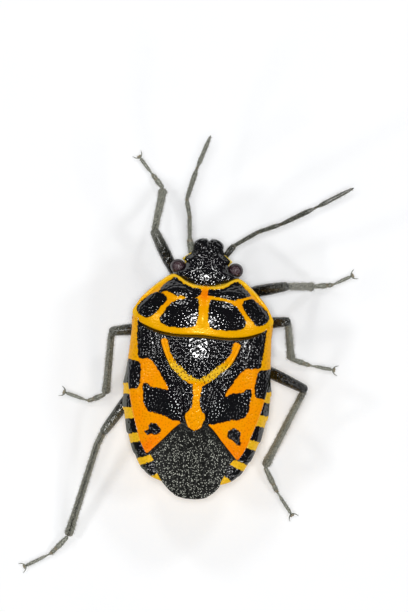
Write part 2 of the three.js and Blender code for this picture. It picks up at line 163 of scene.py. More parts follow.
def back(x, y):
    """Height of the insect's back: from the rim at the sides up to the crest, following the dome."""
    return mix(rim_height(y), crest_height(y), dome(across_body(x, y)))


def belly(x, y):
    """Height of its underside: from just under the rim down to the keel, following a fuller dome."""
    return mix(rim_height(y) - 0.1, keel_height(y), dome(across_body(x, y)) ** 0.78)


def tuck(x, y):
    """How far the wings and the scutellum sink, just behind the pronotum's rear rim, to pass under it."""
    return TUCK_DEPTH * smooth(-0.1, 0.06, y - pronotum_rear(np.abs(x)))


print("back and belly on the middle line:", back(0.0, -2.0).round(2), "and", belly(0.0, -2.0).round(2), "mm")

# %% [markdown]
# ## Shells as pillows
#
# The shields and wings are thin plates with rounded rims that lie over one another like roof tiles. They
# could be flat meshes with a Solidify modifier, but a rim needs its own rounding and its true thickness.
# So each is a closed pillow: a grid whose columns run across the top from rim to rim and back underneath,
# and whose rows run along the body. Half its thickness shrinks to nothing at every rim along a
# superellipse, which gives a soft round edge.


# %% Meshes from arrays
def make_mesh(name, vertices, *face_arrays):
    """A mesh from corners in millimetres and arrays of faces, each array with its own number of sides."""
    mesh = bpy.data.meshes.new(name)
    corners = np.concatenate([faces.ravel() for faces in face_arrays]).astype(np.int32)
    sizes = np.concatenate([np.full(len(faces), faces.shape[1]) for faces in face_arrays]).astype(np.int32)
    mesh.vertices.add(len(vertices))
    mesh.vertices.foreach_set("co", (vertices * MM + BODY_ORIGIN).astype(np.float32).ravel())
    mesh.loops.add(len(corners))
    mesh.loops.foreach_set("vertex_index", corners)
    mesh.polygons.add(len(sizes))
    mesh.polygons.foreach_set("loop_start", np.cumsum(sizes) - sizes)
    mesh.polygons.foreach_set("use_smooth", np.ones(len(sizes), bool))
    mesh.update(calc_edges=True)
    mesh.validate()
    return mesh


def ring_faces(rows, columns):
    """Faces between neighbouring rows of a grid whose last column joins its first."""
    row, column = np.meshgrid(np.arange(rows - 1), np.arange(columns), indexing="ij")
    after = (column + 1) % columns
    here, ahead = row * columns, (row + 1) * columns
    return np.stack([here + column, here + after, ahead + after, ahead + column], -1).reshape(-1, 4)


def end_faces(first, columns):
    """Closes a ring with a strip of faces, each from two neighbours to the two points across from them."""
    i = np.arange(1, columns // 2 - 1)
    half = columns // 2
    strip = np.stack([i, i + 1, columns - i - 1, columns - i], -1)
    return first + strip, first + np.array([[0, 1, columns - 1], [half - 1, half, half + 1]])


print("four points round a ring, two rings:", ring_faces(2, 4).tolist())


# %% Pieces tied to the frame
def finish_piece(name, mesh, material, nodes):
    """Makes the object, gives it its material, and ties it to the frame in place of its CAD nodes."""
    mesh.materials.append(material)
    piece = bpy.data.objects.new(name, mesh)
    bpy.context.scene.collection.objects.link(piece)
    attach(piece, "root")
    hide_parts(*nodes)
    print(name, "has", len(mesh.polygons), "faces")


def add_piece(name, grid, material, nodes, values):
    """A piece from rings of points, closed at both ends.

    Each entry of values, a number or an array that fits the grid, is stored on every point under its name,
    and the materials read it there.
    """
    rows, columns, _ = grid.shape
    start = [faces[:, ::-1] for faces in end_faces(0, columns)]
    end = end_faces((rows - 1) * columns, columns)
    mesh = make_mesh(name, grid.reshape(-1, 3), ring_faces(rows, columns), *start, *end)
    for key, value in values.items():
        numbers = np.broadcast_to(value, (rows, columns)).astype(np.float32).ravel()
        mesh.attributes.new(key, "FLOAT", "POINT").data.foreach_set("value", numbers)
    finish_piece(name, mesh, material, nodes)


# %% Pillows
def spread(count):
    """Positions from 0 to 1, closer together at both ends than in the middle."""
    u = np.linspace(-1, 1, count)
    return 0.5 + 0.5 * mix(u, np.sin(u * np.pi / 2), 0.6)


def pillow(plan, top, bottom, columns, rows, under, side_edge, end_edge):
    """Rings across a closed plate. plan(s, t) gives x and y, top and bottom give the two heights.

    Half the thickness at (s, t) is half of top minus bottom, times the root of 1 - |2s - 1|^side_edge,
    times the root of 1 - |2t - 1|^end_edge, so the larger the power, the tighter the rounding of that rim.
    Returns the rings and which of their points lie on the upper face.
    """
    s = np.concatenate([spread(columns), spread(under)[-2:0:-1]])
    face = np.concatenate([np.ones(columns), -np.ones(under - 2)])
    s, t = np.meshgrid(s, spread(rows))
    x, y = plan(s, t)
    upper, lower = top(x, y), bottom(x, y)
    rounding = np.sqrt(1 - np.abs(2 * s - 1) ** side_edge) * np.sqrt(1 - np.abs(2 * t - 1) ** end_edge)
    z = (upper + lower) / 2 + face * rounding * (upper - lower) / 2
    return np.stack([x, y, z], -1), np.broadcast_to(face > 0, s.shape)


def between(rear, front, left, right):
    """A plan that fills, at each y from rear to front, the stretch from left(y) to right(y)."""

    def plan(s, t):
        """s runs from left to right, t from rear to front."""
        y = mix(rear, front, t)
        return mix(left(y), right(y), s), y

    return plan


print("five positions across a pillow:", spread(5).round(2))

# %% [markdown]
# ## Punctures
#
# The shell of a shield bug is covered with tiny round pits, called punctures, about a tenth of a
# millimetre apart. Each has a curved wall, and one spot on it always mirrors a lamp: this is why the black
# parts sparkle. A bump texture could fake them, but real pits in the mesh also hold from the side. A square
# grid with one pit in each cell, moved by a seeded random step, gives their uneven spacing.

# %% Pits in a seeded, uneven grid
PIT_SPACING = 0.1
PIT_RADIUS = 0.039
PIT_DEPTH = 0.008


def draw(a, b, seed):
    """Numbers from 0 to 1 that look random but always follow from two whole numbers and a seed."""
    value = np.sin(a * 127.1 + b * 311.7 + seed * 74.7) * 43758.5453
    return value - np.floor(value)


def punctures(x, y, seed, spacing=PIT_SPACING, radius=PIT_RADIUS):
    """How deep in a pit each point lies, from 0 outside to 1 at the bottom: 1 minus the squared distance."""
    depth = np.zeros(np.shape(x))
    cell_x, cell_y = np.floor(x / spacing), np.floor(y / spacing)
    for step_x in (-1, 0, 1):
        for step_y in (-1, 0, 1):
            a, b = cell_x + step_x, cell_y + step_y
            centre_x = (a + 0.5 + 0.8 * (draw(a, b, seed) - 0.5)) * spacing
            centre_y = (b + 0.5 + 0.8 * (draw(a, b, seed + 1) - 0.5)) * spacing
            size = radius * (0.7 + 0.5 * draw(a, b, seed + 2))
            near = 1 - ((x - centre_x) ** 2 + (y - centre_y) ** 2) / size**2
            depth = np.maximum(depth, np.clip(near, 0, 1) ** 1.2)
    return depth


def ripple(x, y, size, seed):
    """A gentle uneven swell between -1 and 1, from sums of slanted waves about size millimetres long."""
    k = 2 * np.pi / size
    waves = np.sin(k * (0.8 * x + 0.6 * y) + seed) + np.sin(k * 1.3 * (0.5 * x - 0.9 * y) + 2.1 * seed + 1)
    return (waves + np.sin(k * 0.7 * (x + 0.2 * y) - seed + 4)) / 3


print("pits are about", 2 * PIT_RADIUS, "mm wide and", PIT_SPACING, "mm apart")

# %% [markdown]
# ## Markings
#
# The markings are sharp-edged patches of pigment in the shell. They could be painted as an image, but a
# distance field stays sharp at any size: every point stores how many millimetres it lies inside the
# orange, and the material turns orange where that number passes zero. A spot is a smooth closed outline
# through a few measured corners.

# %% Distances to outlines
FAR = 0.3  # distances are worked out up to this many millimetres from a patch
OUTLINE_STEPS = 5  # points on a patch's outline for each corner


def outline(corners):
    """A smooth closed line through the corners, as an array of points (Catmull-Rom spline)."""
    p = np.array(corners, float)
    before, after, later = np.roll(p, 1, 0), np.roll(p, -1, 0), np.roll(p, -2, 0)
    t = (np.arange(OUTLINE_STEPS) / OUTLINE_STEPS)[None, :, None]
    p0, p1, p2, p3 = (v[:, None, :] for v in (before, p, after, later))
    bend = (2 * p0 - 5 * p1 + 4 * p2 - p3) * t**2 + (3 * p1 - p0 - 3 * p2 + p3) * t**3
    return (p1 + ((p2 - p0) * t + bend) / 2).reshape(-1, 2)


def to_segment(x, y, start, end):
    """Distance from each point to the straight line between start and end."""
    (ax, ay), (bx, by) = start, end
    t = ((x - ax) * (bx - ax) + (y - ay) * (by - ay)) / ((bx - ax) ** 2 + (by - ay) ** 2 + 1e-12)
    t = np.clip(t, 0, 1)
    return np.hypot(x - mix(ax, bx, t), y - mix(ay, by, t))


def inside(x, y, corners):
    """Signed distance to the outline through the corners: millimetres from it, above zero inside."""
    line = outline(corners)
    middle, reach = line.mean(0), np.ptp(line, 0) / 2 + FAR + 0.2
    near = (np.abs(x - middle[0]) < reach[0]) & (np.abs(y - middle[1]) < reach[1])
    px, py = x[near], y[near]
    distance, crossings = np.full(px.shape, FAR), np.zeros(px.shape, int)
    for (ax, ay), (bx, by) in zip(line, np.roll(line, -1, 0)):
        distance = np.minimum(distance, to_segment(px, py, (ax, ay), (bx, by)))
        slope = (bx - ax) / (by - ay) if by != ay else 0.0
        crossings += ((ay > py) != (by > py)) & (px < ax + (py - ay) * slope)
    result = np.full(x.shape, -FAR)
    result[near] = np.where(crossings % 2 == 1, distance, -distance)
    return result


def near_line(x, y, points, width):
    """Signed distance to a stripe of the given width with round ends along a line of points."""
    nearest = [to_segment(x, y, start, end) for start, end in zip(points[:-1], points[1:])]
    return width / 2 - np.minimum.reduce(nearest)


def union(*distances):
    """Signed distance to several patches taken together."""
    return np.maximum.reduce(distances)


square = [(-1, -1), (1, -1), (1, 1), (-1, 1)]
print("the middle of a 2 mm patch is at least", inside(np.zeros(1), np.zeros(1), square)[0], "mm inside")

# %% [markdown]
# ## Materials
#
# Nearly all of the bug is sclerotised cuticle: chitin and protein hardened into a shell, with an index of
# refraction of 1.56. Where it is black it holds melanin right through and has a thin wax film, so it looks
# like polished ebony. Where it is orange, the pigment lies under a clear layer, and it looks like glazed
# enamel. One function turns colours from the usual sRGB hex notation to the linear values that Blender
# works with. One small function adds any node with its settings and links, and returns the output that is
# read from it.

# %% Node helpers
CHITIN_IOR = 1.56
RELIEF_GRAIN = 0.05  # how many millimetres across the faint lumps of smooth shell are
OUTPUT_READ = {"TexCoord": "Object", "Attribute": "Fac", "Mix": 2}  # of the other kinds, the first is read


def linear(hex_colour):
    """The linear red, green and blue of an sRGB hex colour, with full opacity."""
    channels = np.array([int(hex_colour[i : i + 2], 16) for i in (1, 3, 5)]) / 255
    low = channels <= 0.04045
    return (*np.where(low, channels / 12.92, ((channels + 0.055) / 1.055) ** 2.4), 1.0)


def node(tree, kind, settings):
    """Adds one node and returns the output that is read from it.

    settings holds its options, which have names in small letters, and its sockets, by name or by number.
    A socket takes another node's output, which is linked to it, or a hex colour or a number.
    """
    made = tree.nodes.new("ShaderNode" + kind)
    for key, value in settings.items():
        if str(key).islower():
            setattr(made, key, value)
        elif isinstance(value, bpy.types.NodeSocket):
            tree.links.new(value, made.inputs[key])
        else:
            made.inputs[key].default_value = linear(value) if isinstance(value, str) else value
    return made.outputs[OUTPUT_READ.get(kind, 0)] if made.outputs else None


def per_mm(size):
    """The scale at which a pattern on Object coordinates has lumps about size millimetres across."""
    return 1 / (size * MM)


def new_material(name):
    """An empty node material, as (material, its node tree, its Object coordinates)."""
    material = bpy.data.materials.new(name)
    material.use_nodes = True
    tree = material.node_tree
    tree.nodes.clear()
    return material, tree, node(tree, "TexCoord", {})


def finish_material(tree, relief, relief_mm, settings):
    """The shell's shader with relief as bumps relief_mm deep, joined to the material's output."""
    bumps = node(tree, "Bump", {"Strength": 1.0, "Distance": relief_mm * MM, "Height": relief})
    shader = node(tree, "BsdfPrincipled", {"IOR": CHITIN_IOR, "Normal": bumps} | settings)
    node(tree, "OutputMaterial", {"Surface": shader})


print("orange as linear light:", np.round(linear("#FF9600"), 3))

# %% Shell with orange and black markings
YELLOW = "#EEB000"
PIGMENTS = [(-0.5, "#FFE650"), (0.0, YELLOW), (0.5, "#FF9600"), (1.0, "#FF7A00")]  # (warmth, colour)


def marked_cuticle():
    """Glossy pitted shell: black, and orange wherever the stored distance "pigment" is above zero.

    "warmth" moves the pigment from pale yellow over yellow and orange to red-orange, "pit" darkens it in the
    pits, and "olive" is how far the black thins to olive. The wax film lies on the black only.
    """
    material, tree, place = new_material("sclerotised_cuticle_marked")
    warmth, pit, pigment, olive = (
        node(tree, "Attribute", {"attribute_name": key}) for key in ("warmth", "pit", "pigment", "olive")
    )
    colour = PIGMENTS[0][1]
    for (low, _), (high, warmer) in zip(PIGMENTS[:-1], PIGMENTS[1:]):
        share = node(tree, "MapRange", {"Value": warmth, "From Min": low, "From Max": high})
        colour = node(tree, "Mix", {"data_type": "RGBA", 0: share, 6: colour, 7: warmer})
    cloud = node(tree, "TexNoise", {"Vector": place, "Scale": per_mm(0.35)})
    mottle = node(tree, "MapRange", {"Value": cloud, "From Min": 0.35, "From Max": 0.7, "To Max": 0.3})
    patchy = node(tree, "Mix", {"data_type": "RGBA", 0: mottle, 6: colour, 7: YELLOW})
    depth = node(tree, "MapRange", {"Value": pit, "From Min": 0.1, "From Max": 0.9, "To Max": 0.7})
    pitted = node(tree, "Mix", {"data_type": "RGBA", 0: depth, 6: patchy, 7: "#5A2A00"})
    edge = node(tree, "MapRange", {"Value": pigment, "From Min": -0.015, "From Max": 0.015})
    dark = node(tree, "Mix", {"data_type": "RGBA", 0: olive, 6: "#050509", 7: "#3A3D1E"})
    finish = {
        "Base Color": node(tree, "Mix", {"data_type": "RGBA", 0: edge, 6: dark, 7: pitted}),
        "Roughness": node(tree, "MapRange", {"Value": edge, "To Min": 0.11, "To Max": 0.22}),
        "Coat Weight": node(tree, "MapRange", {"Value": edge, "To Min": 0.4, "To Max": 0.05}),
        "Coat Roughness": 0.08,
        "Specular Tint": node(tree, "Mix", {"data_type": "RGBA", 0: edge, 6: "#FFFFFF", 7: "#FFB84A"}),
    }
    relief = node(tree, "TexNoise", {"Vector": place, "Scale": per_mm(RELIEF_GRAIN)})
    finish_material(tree, relief, 0.0006, finish)
    return material


shell = marked_cuticle()
print("marked shell:", len(shell.node_tree.nodes), "nodes")


# %% Plates of marked shell
def pigment_values(x, y, is_top, pigment, warmth, pits):
    """The numbers that the shell's material reads, with uneven edges, and pits only on the upper face."""
    uneven = 0.015 * ripple(x, y, 0.25, 3.0) + 0.01 * ripple(x, y, 0.1, 1.0) - 0.03 * (pits - 0.25)
    return {"pigment": pigment + uneven, "warmth": warmth, "pit": pits * is_top}


def add_plate(name, cad_node, slot, grid, is_top, pigment, warmth, pits, slope=0.0, **more_values):
    """A shell plate whose upper face is sunk by its pits, a quarter deeper where slope is 1."""
    values = pigment_values(grid[..., 0], grid[..., 1], is_top, pigment, warmth, pits)
    grid[..., 2] -= PIT_DEPTH * (1 + 0.25 * slope) * pits * is_top
    add_piece(name, grid, shell, [cad_node], values | more_values)


print("an ordinary pit in a plate is", PIT_DEPTH, "mm deep")


# %% [markdown]
# ## Pronotum
#
# The pronotum is the broad shield behind the head. Its front rim is a raised collar, its side rims are
# slightly turned up, and its two front spots lie on low swellings with a shallow trough behind them. Its
# yellow cross is what is left between six black spots. It could be cut out of the back's own surface, but
# a cut rim is flat. So its rows run from the rear rim, which overlaps the wings, to the collar, and its
# columns follow x.

# %% Pronotum
SHOULDER = 2.31
pronotum_front = curve(
    (0, 0.46), (0.4, 0.49), (0.65, 0.58), (0.85, 0.71), (1.06, 0.78), (1.25, 0.7), (1.55, 0.45),
    (1.85, 0.17), (2.1, -0.12), (SHOULDER, -0.5),
)
PRONOTUM_SPOTS = [
    [(-1.03, 0.67), (-1.3, 0.45), (-1.5, 0.2), (-1.44, 0.1), (-1.29, 0.19), (-1.08, 0.12), (-0.9, 0.05),
     (-0.76, 0.08), (-0.6, 0.02), (-0.25, 0.05), (-0.12, 0.22), (-0.16, 0.34), (-0.45, 0.39), (-0.68, 0.47),
     (-0.85, 0.58)],
    [(1.04, 0.67), (0.85, 0.58), (0.68, 0.46), (0.45, 0.38), (0.14, 0.35), (0.1, 0.16), (0.3, 0.125),
     (0.54, 0.1), (0.82, 0.055), (1.0, 0.045), (1.2, 0.13), (1.42, 0.19), (1.5, 0.26), (1.32, 0.45)],
    [(-0.68, -0.01), (-0.55, 0.04), (-0.22, 0.02), (-0.15, -0.3), (-0.19, -0.8), (-0.45, -0.95),
     (-1.0, -0.97), (-1.33, -0.88), (-1.4, -0.7), (-1.25, -0.42), (-1.1, -0.2), (-0.9, -0.07)],
    [(0.28, 0.03), (0.54, 0.02), (0.82, -0.03), (1.07, -0.15), (1.28, -0.4), (1.42, -0.63), (1.36, -0.82),
     (1.1, -0.93), (0.6, -0.95), (0.24, -0.87), (0.15, -0.35), (0.19, -0.05)],
    [(-1.65, 0.12), (-1.9, -0.06), (-2.12, -0.28), (-2.18, -0.48), (-2.02, -0.68), (-1.78, -0.72),
     (-1.55, -0.55), (-1.36, -0.3), (-1.2, -0.08), (-1.3, 0.06), (-1.4, 0.13)],
    [(1.35, 0.11), (1.25, -0.1), (1.38, -0.33), (1.58, -0.55), (1.78, -0.72), (2.04, -0.66), (2.17, -0.42),
     (2.03, -0.18), (1.8, 0.0), (1.57, 0.14)],
]


def pronotum_top(x, y):
    """The back with raised collar and side rims, and a trough behind the collar and behind the swellings."""
    side = np.abs(x)
    from_front = pronotum_front(side) - y
    from_side = from_edge(body_half_width, x, y)
    rims = 0.05 * smooth(0.15, 0.02, from_front) + 0.035 * bump(from_side - 0.04, 0.08)
    troughs = -0.015 * bump(from_front - 0.2, 0.08) - 0.03 * bump(y + 0.02, 0.12) * smooth(1.9, 1.3, side)
    swellings = 0.015 * oval(side, y, (0.85, 0.28), (0.45, 0.16))
    ridge = 0.02 * bump(x, 0.12) * smooth(-1.0, -0.6, y)
    level = (0.1 * bump(y - 0.08, 0.4) - 0.1 * smooth(-0.3, -1.2, y)) * dome(across_body(x, y))
    return back(x, y) + rims + troughs + swellings + ridge + level


def pronotum_bottom(x, y):
    """Under the back by 0.12 mm at the side rims and 0.3 mm on the middle line."""
    return back(x, y) - mix(0.12, 0.3, dome(across_body(x, y)))


def pronotum_plan(s, t):
    """x follows a sine of s, so that columns crowd together at the shoulders. t runs from rear to front."""
    x = SHOULDER * np.sin((s - 0.5) * np.pi)
    return x, mix(pronotum_rear(np.abs(x)), pronotum_front(np.abs(x)), t)


grid, is_top = pillow(
    pronotum_plan, pronotum_top, pronotum_bottom, columns=420, rows=190, under=60, side_edge=60, end_edge=40
)
x, y = grid[..., 0], grid[..., 1]
spots = union(*(inside(x, y, spot) for spot in PRONOTUM_SPOTS))
from_front = pronotum_front(np.abs(x)) - y
from_side = from_edge(body_half_width, x, y)
sloping = np.maximum(smooth(0.35, 0.75, across_body(x, y)), smooth(-0.15, 0.3, y))
pits = punctures(x, y, radius=PIT_RADIUS * (1 + 0.15 * sloping), seed=3)
pits *= smooth(0.02, 0.1, from_front) * smooth(0.03, 0.1, from_side)
pits *= smooth(-0.02, 0.02, spots) * 0.75 + 0.25
cross = oval(x, y, (0, 0.17), (0.16, 0.16)) + 0.35 * bump(x, 0.14) * smooth(-0.9, 0.2, y)
margin = smooth(0.3, 0.05, np.minimum(from_side, from_front * 1.5))
warmth = 0.08 + cross + 0.25 * smooth(0.6, 1.2, np.abs(x)) * bump(y + 0.1, 0.35) - 0.25 * margin
add_plate("pronotum_shield", "pronotum", "orange_cuticle", grid, is_top, -spots, warmth, pits, sloping)

# %% [markdown]
# ## Scutellum
#
# The scutellum is the long triangle between the wings. It is black with an orange Y whose arms follow its
# side edges and whose stem widens into a spoon at the tip. It lies a hair higher than the wings, and sinks
# under the pronotum at its base. A shallow dent where the arms of the Y meet breaks up its highlight, as
# on the real one. The Y could be one outline like the other patches, but stripes along two lines keep
# their width by themselves.

# %% Scutellum
SCUTELLUM_TIP = -4.34
SCUTELLUM_BASE = -0.95
FORK = -2.6  # the arms of the Y pass into its stem here
ARM_WIDTH = 0.23
Y_ARMS = [
    [(-1.19, -1.47), (-1.13, -1.75), (-0.95, -2.05), (-0.7, -2.3), (-0.4, -2.55), (-0.08, -2.72)],
    [(1.17, -1.43), (1.12, -1.7), (0.95, -2.0), (0.65, -2.25), (0.4, -2.5), (0.08, -2.72)],
]
y_stem = curve(
    (-4.3, -0.02), (-4.2, 0.15), (-4.0, 0.27), (-3.75, 0.3), (-3.58, 0.17), (-3.4, 0.12), (-3.0, 0.13),
    (FORK, 0.2),
)


def scutellum_top(x, y):
    """The back, a little raised, sunk at the base, with a dent at the fork and a groove along the edge."""
    dent = -0.025 * oval(x, y, (0, -2.75), (0.5, 0.3))
    swell = 0.06 * oval(x, y, (-0.05, -1.95), (0.75, 0.5)) + 0.003 * ripple(x, y, 0.22, 7.0)
    groove = -0.02 * bump(from_edge(scutellum_half_width, x, y) - 0.09, 0.035)
    return back(x, y) + 0.03 - tuck(x, y) + dent + swell + groove


grid, is_top = pillow(
    between(SCUTELLUM_TIP, SCUTELLUM_BASE, lambda y: -scutellum_half_width(y), scutellum_half_width),
    scutellum_top, lambda x, y: scutellum_top(x, y) - 0.12,
    columns=240, rows=270, under=24, side_edge=40, end_edge=60,
)
x, y = grid[..., 0], grid[..., 1]
arms = union(*(near_line(x, y, line, ARM_WIDTH) for line in Y_ARMS))
stem = np.where(y < FORK, from_edge(y_stem, x, y), -FAR)
glossy = oval(x, y, (-0.1, -1.72), (0.45, 0.33))
pits = punctures(x, y, radius=0.037 + 0.005 * glossy, seed=11)
pits *= (1.6 - 0.4 * glossy) * smooth(0.02, 0.06, from_edge(scutellum_half_width, x, y))
on_arms = smooth(0.0, 0.02, arms) * smooth(-2.15, -1.9, y)
on_stem = smooth(0.0, 0.02, stem) * smooth(FORK, -2.8, y)
pits *= 1 - 0.85 * on_arms - 0.7 * on_stem
warmth = 0.35 - 0.5 * smooth(-1.9, -2.2, y) * smooth(-2.75, FORK, y)
add_plate("scutellum_shield", "scutellum", "black_cuticle", grid, is_top, union(arms, stem), warmth, pits)

# %% [markdown]
# ## Fore wings
#
# A shield bug's fore wing is half leather and half film. The leathery part, the corium, starts under the
# pronotum, runs along the scutellum and ends in a slanting seam. Two grooves cross it: one frees the
# narrow strip beside the scutellum, the other the outer band. One wing could be mirrored to make the
# other, but their markings differ a little, so one function makes both and each has its own outlines.

# %% Leathery part of the fore wings
CORIUM_TIP = -5.13
CORIUM_BASE = -0.65
SEAM_START = -4.03
corium_inner = curve(
    (CORIUM_TIP, 1.45), (-4.6, 0.96), (-4.15, 0.55), (SEAM_START, 0.4), (-3.9, 0.24), (-3.6, 0.26),
    (-3.0, 0.4), (-2.6, 0.59), (-2.2, 0.84), (-1.8, 1.05), (-1.4, 1.2), (-0.6, 1.26),
)
claval_groove = curve((-3.9, 0.42), (-3.4, 0.6), (-2.6, 0.98), (-1.8, 1.42), (-1.0, 1.72))
outer_groove = curve((-4.2, 1.72), (-3.1, 1.88), (-2.2, 1.97), (-1.0, 2.02))
WING_BLACK = {
    "left": [
        [(-1.95, -0.3), (-2.1, -0.6), (-2.1, -1.3), (-2.04, -1.8), (-1.98, -2.06), (-1.62, -2.07),
         (-1.48, -2.2), (-1.25, -2.52), (-0.98, -2.9), (-0.96, -3.02), (-1.2, -2.97), (-1.5, -2.96),
         (-1.6, -2.86), (-1.78, -2.88), (-1.76, -3.2), (-1.71, -3.5), (-1.55, -3.75), (-1.3, -3.81),
         (-1.0, -3.88), (-0.75, -3.99), (-0.5, -4.02), (0, -4.1), (0, -0.3)],
        [(-2.45, -2.16), (-2.1, -2.15), (-1.93, -2.22), (-1.87, -2.6), (-1.9, -2.98), (-2.05, -3.07),
         (-2.45, -3.04)],
        [(-1.28, -4.12), (-1.47, -4.2), (-1.5, -4.36), (-1.62, -4.42), (-1.52, -4.53), (-1.36, -4.5),
         (-1.2, -4.52), (-1.08, -4.36)],
    ],
    "right": [
        [(1.95, -0.3), (2.1, -0.6), (2.1, -1.3), (2.04, -1.8), (1.98, -2.1), (1.62, -2.14), (1.38, -2.3),
         (1.15, -2.65), (0.93, -3.06), (1.2, -2.96), (1.5, -2.92), (1.6, -2.8), (1.78, -2.83), (1.75, -3.3),
         (1.7, -3.6), (1.5, -3.8), (1.2, -3.86), (0.9, -3.95), (0.5, -4.05), (0, -4.1), (0, -0.3)],
        [(2.45, -2.16), (2.1, -2.15), (1.94, -2.22), (1.87, -2.6), (1.9, -3.0), (2.05, -3.08),
         (2.45, -3.04)],
        [(1.3, -4.1), (1.12, -4.22), (1.1, -4.4), (1.28, -4.52), (1.48, -4.66), (1.56, -4.58), (1.5, -4.42),
         (1.52, -4.24)],
    ],
}


def corium_top(x, y):
    """The back, lowered under its neighbours, with two grooves, a low vein and a faint swell."""
    side = np.abs(x)
    base = -tuck(x, y) * smooth(0.1, 0.6, wing_half_width(y) - side)
    under_scutellum = -0.05 * smooth(0.06, -0.04, side - scutellum_half_width(y)) * smooth(-4.3, -4.0, y)
    inner = -0.006 * bump(side - claval_groove(y), 0.05) * smooth(-3.8, -3.4, y)
    past_outer = side - outer_groove(y)
    outer = (0.004 * bump(past_outer + 0.09, 0.06) - 0.008 * bump(past_outer, 0.05)) * smooth(-3.9, -3.0, y)
    return back(x, y) + base + under_scutellum + inner + outer + 0.006 * ripple(x, y, 0.9, 2.0)


def add_corium(name, side):
    """One leathery fore wing with its own markings."""
    edges = (lambda y: side * corium_inner(y), lambda y: side * wing_half_width(y))
    grid, is_top = pillow(
        between(CORIUM_TIP, CORIUM_BASE, *edges[::side]), corium_top, lambda x, y: corium_top(x, y) - 0.09,
        columns=190, rows=330, under=20, side_edge=40, end_edge=60,
    )
    x, y = grid[..., 0], grid[..., 1]
    black = union(*(inside(x, y, patch) for patch in WING_BLACK[name]))
    sloping = smooth(0.35, 0.75, across_body(x, y))
    pits = punctures(x, y, radius=0.036 + 0.009 * sloping, seed=21)
    pits *= smooth(0.02, 0.07, from_edge(wing_half_width, x, y)) * (smooth(-0.02, 0.02, black) * 0.6 + 0.4)
    pits *= 1 + 0.9 * smooth(0.1, -0.1, np.abs(x) - claval_groove(y))
    outer_band = smooth(-0.05, 0.05, np.abs(x) - outer_groove(y))
    warmth = np.clip(0.5 - 0.36 * outer_band * smooth(-3.4, -2.4, y) + 0.5 * smooth(-4.2, -5.1, y), 0, 1)
    cad_node = f"corium_{name}"
    add_plate(f"fore_wing_{name}", cad_node, "orange_cuticle", grid, is_top, -black, warmth, pits, sloping)


for name, side in SIDES.items():
    add_corium(name, side)

# %% [markdown]
# ## Wing membranes
#
# Beyond the seam each fore wing is a thin smoky film with a fan of low veins, and the left film lies over
# the right. It is chitin too, but thin, unhardened and finely wrinkled, so it is duller than the shell,
# and the wrinkles scatter the light into a pale grain. They could be a bump alone, but at this size that
# blurs to a flat grey. So a cell pattern gives one pale dot every 0.05 mm or so, about the real spacing,
# and noise the bump.

# %% Film of the wing membranes
def smoky_film():
    """Dull charcoal film with pale dots where its wrinkles catch the light, darker on the veins."""
    material, tree, place = new_material("smoky_wing_film")
    fine = node(tree, "TexNoise", {"Vector": place, "Scale": per_mm(0.045), "Detail": 3.0, "Roughness": 0.7})
    cells = node(tree, "TexVoronoi", {"Vector": place, "Scale": per_mm(0.052)})
    around_dot = node(tree, "MapRange", {"Value": cells, "From Min": 0.16, "From Max": 0.34})
    speckled = node(tree, "Mix", {"data_type": "RGBA", 0: around_dot, 6: "#E4E6D8", 7: "#0B0C0A"})
    vein = node(tree, "Attribute", {"attribute_name": "vein"})
    on_vein = node(tree, "MapRange", {"Value": vein, "From Min": 0.1, "To Max": 0.8})
    rough = {"Value": fine, "From Min": 0.3, "From Max": 0.7, "To Min": 0.36, "To Max": 0.24}
    finish = {
        "Base Color": node(tree, "Mix", {"data_type": "RGBA", 0: on_vein, 6: speckled, 7: "#0B0C09"}),
        "Roughness": node(tree, "MapRange", rough),
        "Specular IOR Level": 0.2,
    }
    finish_material(tree, fine, 0.006, finish)
    return material


film = smoky_film()
print("wing film:", len(film.node_tree.nodes), "nodes")

# %% Wing membranes
VEINS = 7
MEMBRANE_ROOT = -3.85
STREAK_ROOT = -3.6
STREAKS = 22
seam = curve((CORIUM_TIP, 1.46), (SEAM_START, 0.45))
overlap_edge = curve((-6.6, 0.95), (-6.2, 0.86), (-5.6, 0.68), (-5.0, 0.45), (-4.5, 0.22), (-3.8, 0.1))


def membrane_edge(y):
    """Half width of the pair of films: their own outline at the rear, then a little under the leather."""
    return np.where(y < FILM_START, membrane_half_width(y), seam(np.maximum(y, CORIUM_TIP)) + 0.08)


def vein_fan(x, y):
    """1 on a vein, 0 between: veins spread from the root in proportion to the width."""
    place = x / (0.3 + membrane_edge(np.minimum(y, -4.9))) * VEINS
    fade = smooth(-4.3, -4.8, y) * smooth(-6.5, -6.2, y)
    return fade * bump(((place + 0.5) % 1) - 0.5, 0.13)


def add_membrane(name, left, right, drop):
    """One film between two edges, drop millimetres under the back."""

    def top(x, y):
        """The back, lowered by drop and once more under the leather, with veins and a faint swell."""
        under_leather = 0.1 * smooth(-0.04, 0.05, np.abs(x) - seam(y)) * smooth(-5.3, -5.1, y)
        return back(x, y) - drop - under_leather + 0.01 * vein_fan(x, y) + 0.004 * ripple(x, y, 0.9, 5.0)

    def plan(s, t):
        """Between the two edges, with the tip of the pair bent a little to the right."""
        y = mix(WINGS_END, MEMBRANE_ROOT, t)
        return mix(left(y), right(y), s) + 0.06 * smooth(-5.7, -6.3, y), y

    grid, _ = pillow(
        plan, top, lambda x, y: top(x, y) - 0.05, columns=200, rows=260, under=20, side_edge=60, end_edge=60
    )
    x, y = grid[..., 0], grid[..., 1]
    dark_hem = smooth(0.3, 0.1, from_edge(seam, x, y)) * smooth(-5.35, -5.1, y)
    fan = np.sin(np.arctan2(x, STREAK_ROOT - y) * STREAKS)
    streaks = smooth(0.35, 0.75, fan) * smooth(-5.2, -4.5, y)
    dark = union(0.6 * vein_fan(x, y), dark_hem, streaks, smooth(-4.55, -4.3, y))
    add_piece(f"wing_film_{name}", grid, film, [f"membrane_{name}"], {"vein": dark})


